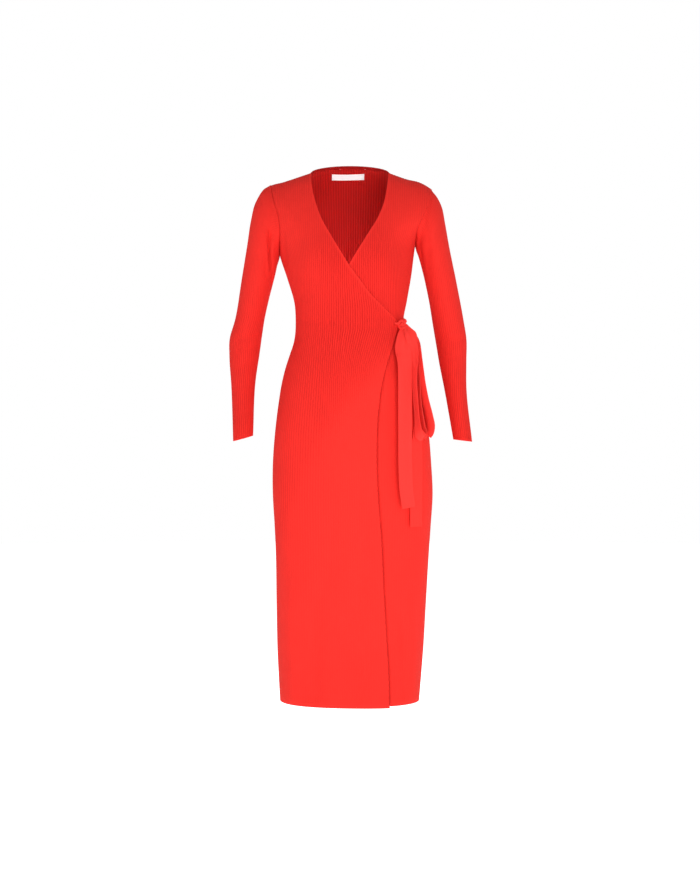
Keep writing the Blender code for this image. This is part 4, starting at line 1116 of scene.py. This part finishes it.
def sleeve(name, node, side, table, strokes):
    """A sleeve from its armhole to its cuff, with the cuff's rolled edge."""
    rings = np.array([armhole_loop(side)] + [arm_ring(row) for row in table])
    gaps = np.linalg.norm(np.diff(rings, axis=0), axis=2).mean(axis=1)
    reach = np.concatenate([[0], np.cumsum(gaps)])
    below_cap = np.linspace(CAP_REACH, reach[-1], int((reach[-1] - CAP_REACH) / ROW_STEP))
    down = np.concatenate([np.linspace(0, CAP_REACH, CAP_ROWS)[:-1], below_cap])
    lines = smooth(np.column_stack([reach, rings.reshape(len(rings), -1)]), down).reshape(len(down), -1, 3)
    lines[1:] = shoulder_round(lines[1:])
    around = np.gradient(lines, axis=1)
    around[:, [0, -1]] = (lines[:, [1]] - lines[:, [-2]]) / 2
    normals = unit(np.cross(around, np.gradient(lines, axis=0))) * -side
    run = lengths_along(lines)
    measure = run - run[:, [SLEEVE_COLUMNS // 2]]
    pitch = np.interp(down, *np.array(SLEEVE_PITCH).T)
    stations = wales(measure, np.arange(-4 * SLEEVE_RIBS, 4 * SLEEVE_RIBS + 1), pitch)
    points, out = read_rows(lines, stations), unit(read_rows(normals, stations))
    across = read_rows(measure[..., None], stations)[..., 0]
    along = np.repeat(down[:, None], across.shape[1], axis=1)
    crease = soft(np.stack([across, along], axis=2), strokes) * ease(along / 14.0)
    points = points + out * (crease * from_seams(lines, stations, 14.0))[..., None]
    depth = np.interp(along, *np.array(SLEEVE_OPEN).T) * from_seams(lines, stations, 6.0) * ease(along / 6.0)
    piece = grid_mesh(name, points, across / pitch[:, None], along, depth, flip=side > 0)
    knitted(piece, rib_knit)
    apart = np.linalg.norm(np.diff(points[-1], axis=0), axis=1) > 0.05  # drops the ribs that end in the seam
    cuff = points[-1, np.concatenate([[True], apart])]
    outward = unit(cuff - cuff.mean(axis=0))
    join(piece, [along_path(name + "_roll", cuff - outward * CLOTH / 2, outward, roll_edge, Radius=CUFF_RADIUS,
                            Finish=rib_knit)])
    worn(piece, node, flat=(0.4, 0.58), held="hung", rests_on=["back_panel"], area=0.15)


sleeve("right_sleeve", "sleeve_right", -1, RIGHT_SLEEVE, RIGHT_STROKES)
sleeve("left_sleeve", "sleeve_left", 1, LEFT_SLEEVE, LEFT_STROKES)

# ---------------------------------------------------------------- tie
# Two flat ties of the same yarn in a plain fine knit, one from the upper front's corner and one from the left side
# seam. They meet in a knot at the corner and hang in a bow: two loops at the side and two tails in front of them.
TIE_THICK, TIE_COLUMNS, TIE_STEP = 1.5, 15, 3.0
# The tie's groove colours are painted shade for the hollows between its stitches.
TIE_CREST, TIE_GROOVE_SHADE = (0.87, 0.041, 0.033, 1.0), (0.76, 0.024, 0.019, 1.0)
# Painted shade: a darker copy of the tie's colours, for the back tail.
SHADED_TIE_CREST, SHADED_TIE_GROOVE = (0.86, 0.0345, 0.0265, 1.0), (0.73, 0.0205, 0.0165, 1.0)
TAIL_FRONT = (
    # x, y, z, turn, width, lift: turn is how far the right edge swings back, in degrees, lift how far it rises
    (110.5, -60.5, -337.0, 8, 13, 0), (113, -66.0, -346.0, 8, 18.5, 0), (112, -71, -355, 8, 24, 0),
    (110.9, -77, -368, 8, 29, 0), (110.9, -82, -381, 8, 34, 0), (111.4, -85, -391, 10, 34.5, 0),
    (112.8, -88, -402, 18, 33.5, 0), (114, -91, -420, 28, 33, 0), (114.2, -93, -450, 31, 33, 0),
    (114.2, -98, -500, 31, 33, 0), (114.3, -102, -550, 31, 33, 0), (114.6, -104, -628, 31, 33, 0),
    (117, -104, -680, 31, 33, 0), (121.8, -103, -717, 31, 32.5, 0),
)
TAIL_BACK = (
    (111, -50, -340, 40, 10, 0), (115, -50, -356, 45, 14, 0), (122, -49, -380, 50, 17, 0),
    (131, -49, -410, 54, 18, 0), (138, -48.5, -450, 57, 18.5, 0), (141.4, -62.5, -500, 53, 20, 0),
    (143, -69.5, -543, 45, 22, 0), (141.2, -71, -566, 41, 26, 0), (139.3, -72, -590, 41, 31, 0),
    (139, -73, -612, 40, 31.5, 0), (139, -75.5, -650, 38, 31.5, 0), (138, -77.5, -700, 36, 31.5, 0),
    (138, -77.5, -758, 36, 31.5, 0),
)
LOOP_FRONT = (
    (114, -62, -335, 10, 12, 0), (120.5, -68, -344, 5, 17, 0), (127.3, -74, -355, 0, 24, 0),
    (130.6, -78, -371, -8, 22, 0), (133, -81.5, -389, -25, 22, 0), (134.3, -84.5, -408, -42, 21, 0),
    (134.4, -87, -428, -53, 19, 0), (134.6, -88.5, -449, -57, 17, 0), (135.4, -89, -467, -58, 16.5, 0),
    (137, -89, -490, -58, 16.5, 0), (138.6, -89, -512, -59, 16.5, 0), (140.2, -89, -534, -59, 17.5, 0.05),
    (141.6, -89, -548, -57, 20.5, 0.4), (143.6, -89, -558.5, -56, 22, 0.95),
    (146.8, -88, -565.5, -56, 23, 1.4), (151, -86.5, -568.8, -58, 23, 1.35),
    (155, -84.5, -567.5, -60, 22, 0.8), (154.9, -82.5, -560, -62, 22, 0.3),
    (151.6, -80.5, -549, -63, 21.5, 0.1), (149.3, -80.5, -535, -64, 21, 0), (145.9, -80, -512, -64, 20, 0),
    (142.9, -79.5, -484, -64, 19.5, 0), (142, -78.5, -452, -63, 19, 0), (140.3, -76, -425, -56, 18, 0),
    (136, -73, -398, -40, 16, 0), (130, -69, -370, -15, 13, 0), (121, -62, -350, 5, 11, 0),
    (115, -58, -338, 20, 9, 0),
)
LOOP_BACK = (
    (115, -54, -333, -5, 9, 0), (121, -54, -340.5, -12, 12, 0), (127, -55, -348, -25, 15, 0),
    (133.2, -56, -357.5, -45, 17, 0), (139.3, -57, -370, -62, 19, 0), (141.9, -58, -385, -68, 21, 0),
    (143.6, -58.5, -403, -66, 22, 0), (146.4, -58.5, -430, -61, 22.5, 0), (148.6, -58.5, -452, -58, 24, 0),
    (154.5, -59.5, -490, -56, 27, 0), (163, -61, -527, -54, 28.5, 0), (166.4, -62.5, -549, -52, 28.5, 0.1),
    (165, -63, -560, -52, 27, 0.2), (161.5, -62, -566, -46, 23, 0.25), (157.5, -62, -563, -50, 21, 0.2),
    (155, -63, -552, -55, 18, 0.1), (152, -64, -530, -60, 16, 0), (147, -64, -493, -62, 15, 0),
    (143, -64, -450, -62, 15, 0), (138, -62, -410, -50, 15, 0), (130.5, -59, -376, -35, 13, 0),
    (122, -56, -352, -15, 11, 0), (115, -54.5, -341, 0, 9, 0),
)
SIDE_TIE = (
    # u, height, rise: u runs over the front from the right side seam (0) to the left one (1)
    (0.996, -327, 27), (0.975, -328, 26), (0.95, -329, 23), (0.925, -330, 20), (0.905, -331, 18),
)
SIDE_TIE_Z, SIDE_TIE_ROWS = -331.0, 15

tie_knit = knit_finish("tie_knit", 1.0, 1.1, TIE_CREST, TIE_GROOVE_SHADE, ribbed=False)
shaded_tie_knit = knit_finish("shaded_tie_knit", 1.0, 1.1, SHADED_TIE_CREST, SHADED_TIE_GROOVE, ribbed=False)


def square_to(along, way):
    """The direction nearest to way at right angles to along."""
    return unit(way - along * np.sum(way * along, axis=1, keepdims=True))


def strip_cloth(name, centre, across, widths, folds, curl=0.5, cup=0.0, finish=tie_knit):
    """A strip with its width along across. folds are soft strokes in (across, along) millimetres. curl bends its two
    edges, and cup its whole width."""
    along = unit(np.gradient(centre, axis=0))
    across = square_to(along, across)
    flat = np.cross(along, across)
    share = np.linspace(-1, 1, TIE_COLUMNS)[None, :]
    side = share * widths[:, None] / 2
    reach = np.repeat(lengths_along(centre)[:, None], TIE_COLUMNS, axis=1)
    creases = soft(np.stack([side, reach], axis=2), folds)
    off = curl * (share**4 - 0.2) + cup * (share**2 - 0.3) * ease(reach / 60.0) + creases
    points = centre[:, None] + across[:, None] * side[..., None] + flat[:, None] * off[..., None]
    piece = grid_mesh(name, points, side / 1.25, reach, np.zeros(side.shape), flip=False, merge=0)
    piece.data.materials.append(finish)
    wall = piece.modifiers.new("wall", "SOLIDIFY")
    wall.thickness, wall.offset = TIE_THICK * 0.001, 0.0
    plain_mesh(piece).data.set_sharp_from_angle(angle=math.radians(60))
    return piece


def hung_strip(name, node, table, folds, flat, **shape):
    """A strip that hangs from the knot, from the table of its places, turns and widths."""
    table = np.array(table, float)
    reach = lengths_along(table[:, :3])
    rows = smooth(np.column_stack([reach, table]), np.linspace(0, reach[-1], int(reach[-1] / TIE_STEP)))
    turn = np.radians(rows[:, 3])
    across = np.stack([np.cos(turn), np.sin(turn), rows[:, 5]], axis=1)
    piece = strip_cloth(name, rows[:, :3], across, rows[:, 4], folds, **shape)
    worn(piece, node, flat=flat, held="hung", rests_on=["tie_knot"])


hung_strip("front_tail", "tail_front", TAIL_FRONT, (
    (((4, 0), (6, 20), (9, 55)), 4, -0.8), (((-4, 0), (-7, 30), (-12, 70)), 4, -0.8),
    (((0, 0), (1, 18), (3, 44)), 3, 0.7), (((-6, 80), (-5, 200), (-7, 330)), 5, 0.7),
    (((9, 120), (8, 240), (10, 350)), 4, -0.6)), (0.033, 0.388))
# The back tail takes the darker copy of the tie's finish, painted shade.
hung_strip("back_tail", "tail_back", TAIL_BACK, (
    (((2, 0), (5, 30), (8, 80)), 4, -1.4), (((-5, 100), (-3, 220), (-6, 360)), 5, 0.8)), (0.033, 0.424), curl=1.5,
    finish=shaded_tie_knit)
hung_strip("front_loop", "loop_front", LOOP_FRONT, (
    (((0, 0), (2, 40), (3, 110)), 4, -1.2), (((0, 470), (-2, 430), (-3, 350)), 4, 1.0)), (0.0255, 0.487), curl=0.4)
hung_strip("back_loop", "loop_back", LOOP_BACK, (
    (((0, 0), (2, 40), (3, 110)), 4, -1.2), (((0, 460), (-2, 420), (-3, 350)), 4, 1.0)), (0.0255, 0.477), curl=0.4,
    cup=-6.0)

# The side tie comes from the seam in three soft pleats and narrows to the knot.
side_row = int(np.argmin(np.abs(KEYS - SIDE_TIE_Z)))
side_run = lengths_along(front_lines[side_row])
side_table = np.column_stack([np.linspace(0, 1, len(SIDE_TIE)), np.array(SIDE_TIE)])
side_u, side_z, side_rise = smooth(side_table, np.linspace(0, 1, SIDE_TIE_ROWS)).T
side_at = np.interp(side_u * side_run[-1], side_run, np.arange(STATIONS))
side_out = unit(read_line(front_normals[side_row], side_at))
side_points = read_line(front_lines[side_row], side_at) + side_out * (TIE_THICK / 2 + 0.8)
side_points[:, 2] = side_z
side_down = np.repeat([[0.0, 0.0, -1.0]], SIDE_TIE_ROWS, axis=0)
side_tie = strip_cloth("side_tie", side_points, side_down, side_rise, (
    (((-6, 0), (-4, 8), (-3, 20)), 2, -0.5), (((5, 0), (4, 8), (3, 20)), 2, -0.5)), curl=0.2)
worn(side_tie, "tie_side", flat=(0.025, 0.02), held="hung", rests_on=["under_front"])

# The knot: one tie wraps round the other once and comes out at the top, and the upper front's corner runs into it as
# two twisted strands.
KNOT_CENTRE, KNOT_RADII = (108.8, -57.0, -333.5), (8.6, 6.6, 9.6)
WRAP_CENTRE, WRAP_ACROSS, WRAP_UP = (109.4, -62.5, -331.5), (6.4, 0.6, 0.8), (-0.8, -1.6, 6.6)
TUCK = ((112.5, -62, -326.5), (115.2, -60.5, -323.2), (117.4, -57, -324.4), (117.5, -52, -328.5))
NUB = ((107.6, -62.4, -334.6), (109.2, -65.0, -332.4), (110.6, -65.0, -330.0), (111.4, -62.0, -328.4))
FOLD = ((103.2, -60.5, -338.4), (105.0, -64.0, -340.8), (110.0, -66.2, -341.6), (115.4, -64.0, -340.0),
        (117.4, -60.0, -336.8))
STRAND_SIDES, STRAND_STEP = 20, 0.7
STRAND_TIP, STRAND_END = 0.12, 0.25  # a strand closes over this share of its length, down to this share of its width


def strand(path, facing, wide, thick):
    """A closed strand of cloth along a path in millimetres: its broad side looks along facing."""
    path = np.array(path, float)
    facing = np.broadcast_to(np.array(facing, float), path.shape)
    reach = lengths_along(path)
    run = np.linspace(0, reach[-1], max(12, int(reach[-1] / STRAND_STEP)))
    centre, facing = (smooth(np.column_stack([reach, part]), run) for part in (path, facing))
    along = unit(np.gradient(centre, axis=0))
    facing = square_to(along, facing)
    side = np.cross(along, facing)
    share = np.linspace(0, 1, len(run))
    close = np.sqrt(np.clip(np.minimum(share, 1 - share) / STRAND_TIP, STRAND_END**2, 1))
    turn = np.linspace(0, 2 * math.pi, STRAND_SIDES + 1)
    pleat = 1 + 0.09 * np.cos(turn * 6)
    breadth = side[:, None] * (np.cos(turn) * pleat)[None, :, None] * wide / 2
    depth = facing[:, None] * (np.sin(turn) * pleat)[None, :, None] * thick / 2
    points = centre[:, None] + (breadth + depth) * close[:, None, None]
    points[0], points[-1] = centre[0], centre[-1]
    return points, np.repeat((turn * wide / 5)[None], len(run), axis=0), np.repeat(run[:, None], len(turn), axis=1)


knot_turn, knot_rise = np.meshgrid(np.linspace(0, 2 * math.pi, 65), np.linspace(-math.pi / 2, math.pi / 2, 33))
ball = [np.cos(knot_rise) * np.cos(knot_turn), np.cos(knot_rise) * np.sin(knot_turn), np.sin(knot_rise)]
pleats = 1 + 0.05 * np.cos(6 * knot_turn + 4 * knot_rise)
core = np.stack(ball, axis=2) * pleats[..., None] * np.array(KNOT_RADII) + np.array(KNOT_CENTRE)
turn = np.radians(np.linspace(200, 545, 15))[:, None]
wrap = np.array(WRAP_CENTRE) + np.cos(turn) * np.array(WRAP_ACROSS) + np.sin(turn) * np.array(WRAP_UP)
wrap[:, 1] += np.linspace(1.8, -1.2, len(wrap))
wrap_out = wrap - np.array([WRAP_CENTRE[0], KNOT_CENTRE[1], WRAP_CENTRE[2]])
strands = [
    (core, knot_turn * 6, knot_rise * 10), strand(wrap, wrap_out, 6.4, 3.4),
    strand(TUCK, (0.3, -0.8, 0.5), 6.4, 3.6), strand(NUB, (0.0, -1.0, 0.0), 4.6, 3.6),
    strand(FOLD, (0.0, -0.8, -0.6), 5.4, 3.2),
]
for phase in (0.0, 180.0):  # the upper front's corner
    s = np.linspace(0, 1, 12)
    turn, radius = np.radians(phase + 250 * s), 1.1 + 0.8 * s
    twist = [93.6 + 11.4 * s, -62.8 - 1.4 * s + radius * np.sin(turn), -329.4 - 3.2 * s + radius * np.cos(turn)]
    strands.append(strand(np.stack(twist, axis=1), (0.0, -1.0, 0.2), 3.4, 2.6))
knot_parts = []
for points, wale, along in strands:
    knot_parts.append(grid_mesh("tie_knot", points, wale, along, np.zeros(wale.shape), flip=False))
    knot_parts[-1].data.materials.append(tie_knit)
knot = join(knot_parts[0], knot_parts[1:])
shape = bmesh.new()
shape.from_mesh(knot.data)
bmesh.ops.recalc_face_normals(shape, faces=shape.faces)
shape.to_mesh(knot.data)
shape.free()
worn(knot, "knot", flat=(0.035, 0.05), held="folded", rests_on=["upper_front"], area=0.0014)

# ---------------------------------------------------------------- light inside the neck
# The smallest softbox falls only on what shows inside the neck: the back panel, its band and the label. Nothing but
# the floor can shade it.
inside_neck, lit_past = bpy.data.collections.new("inside_neck"), bpy.data.collections.new("lit_past")
for piece in (back, band, label):
    inside_neck.objects.link(piece)
lit_past.objects.link(floor)
neck_softbox.light_linking.receiver_collection = inside_neck
neck_softbox.light_linking.blocker_collection = lit_past

bpy.context.view_layer.update()
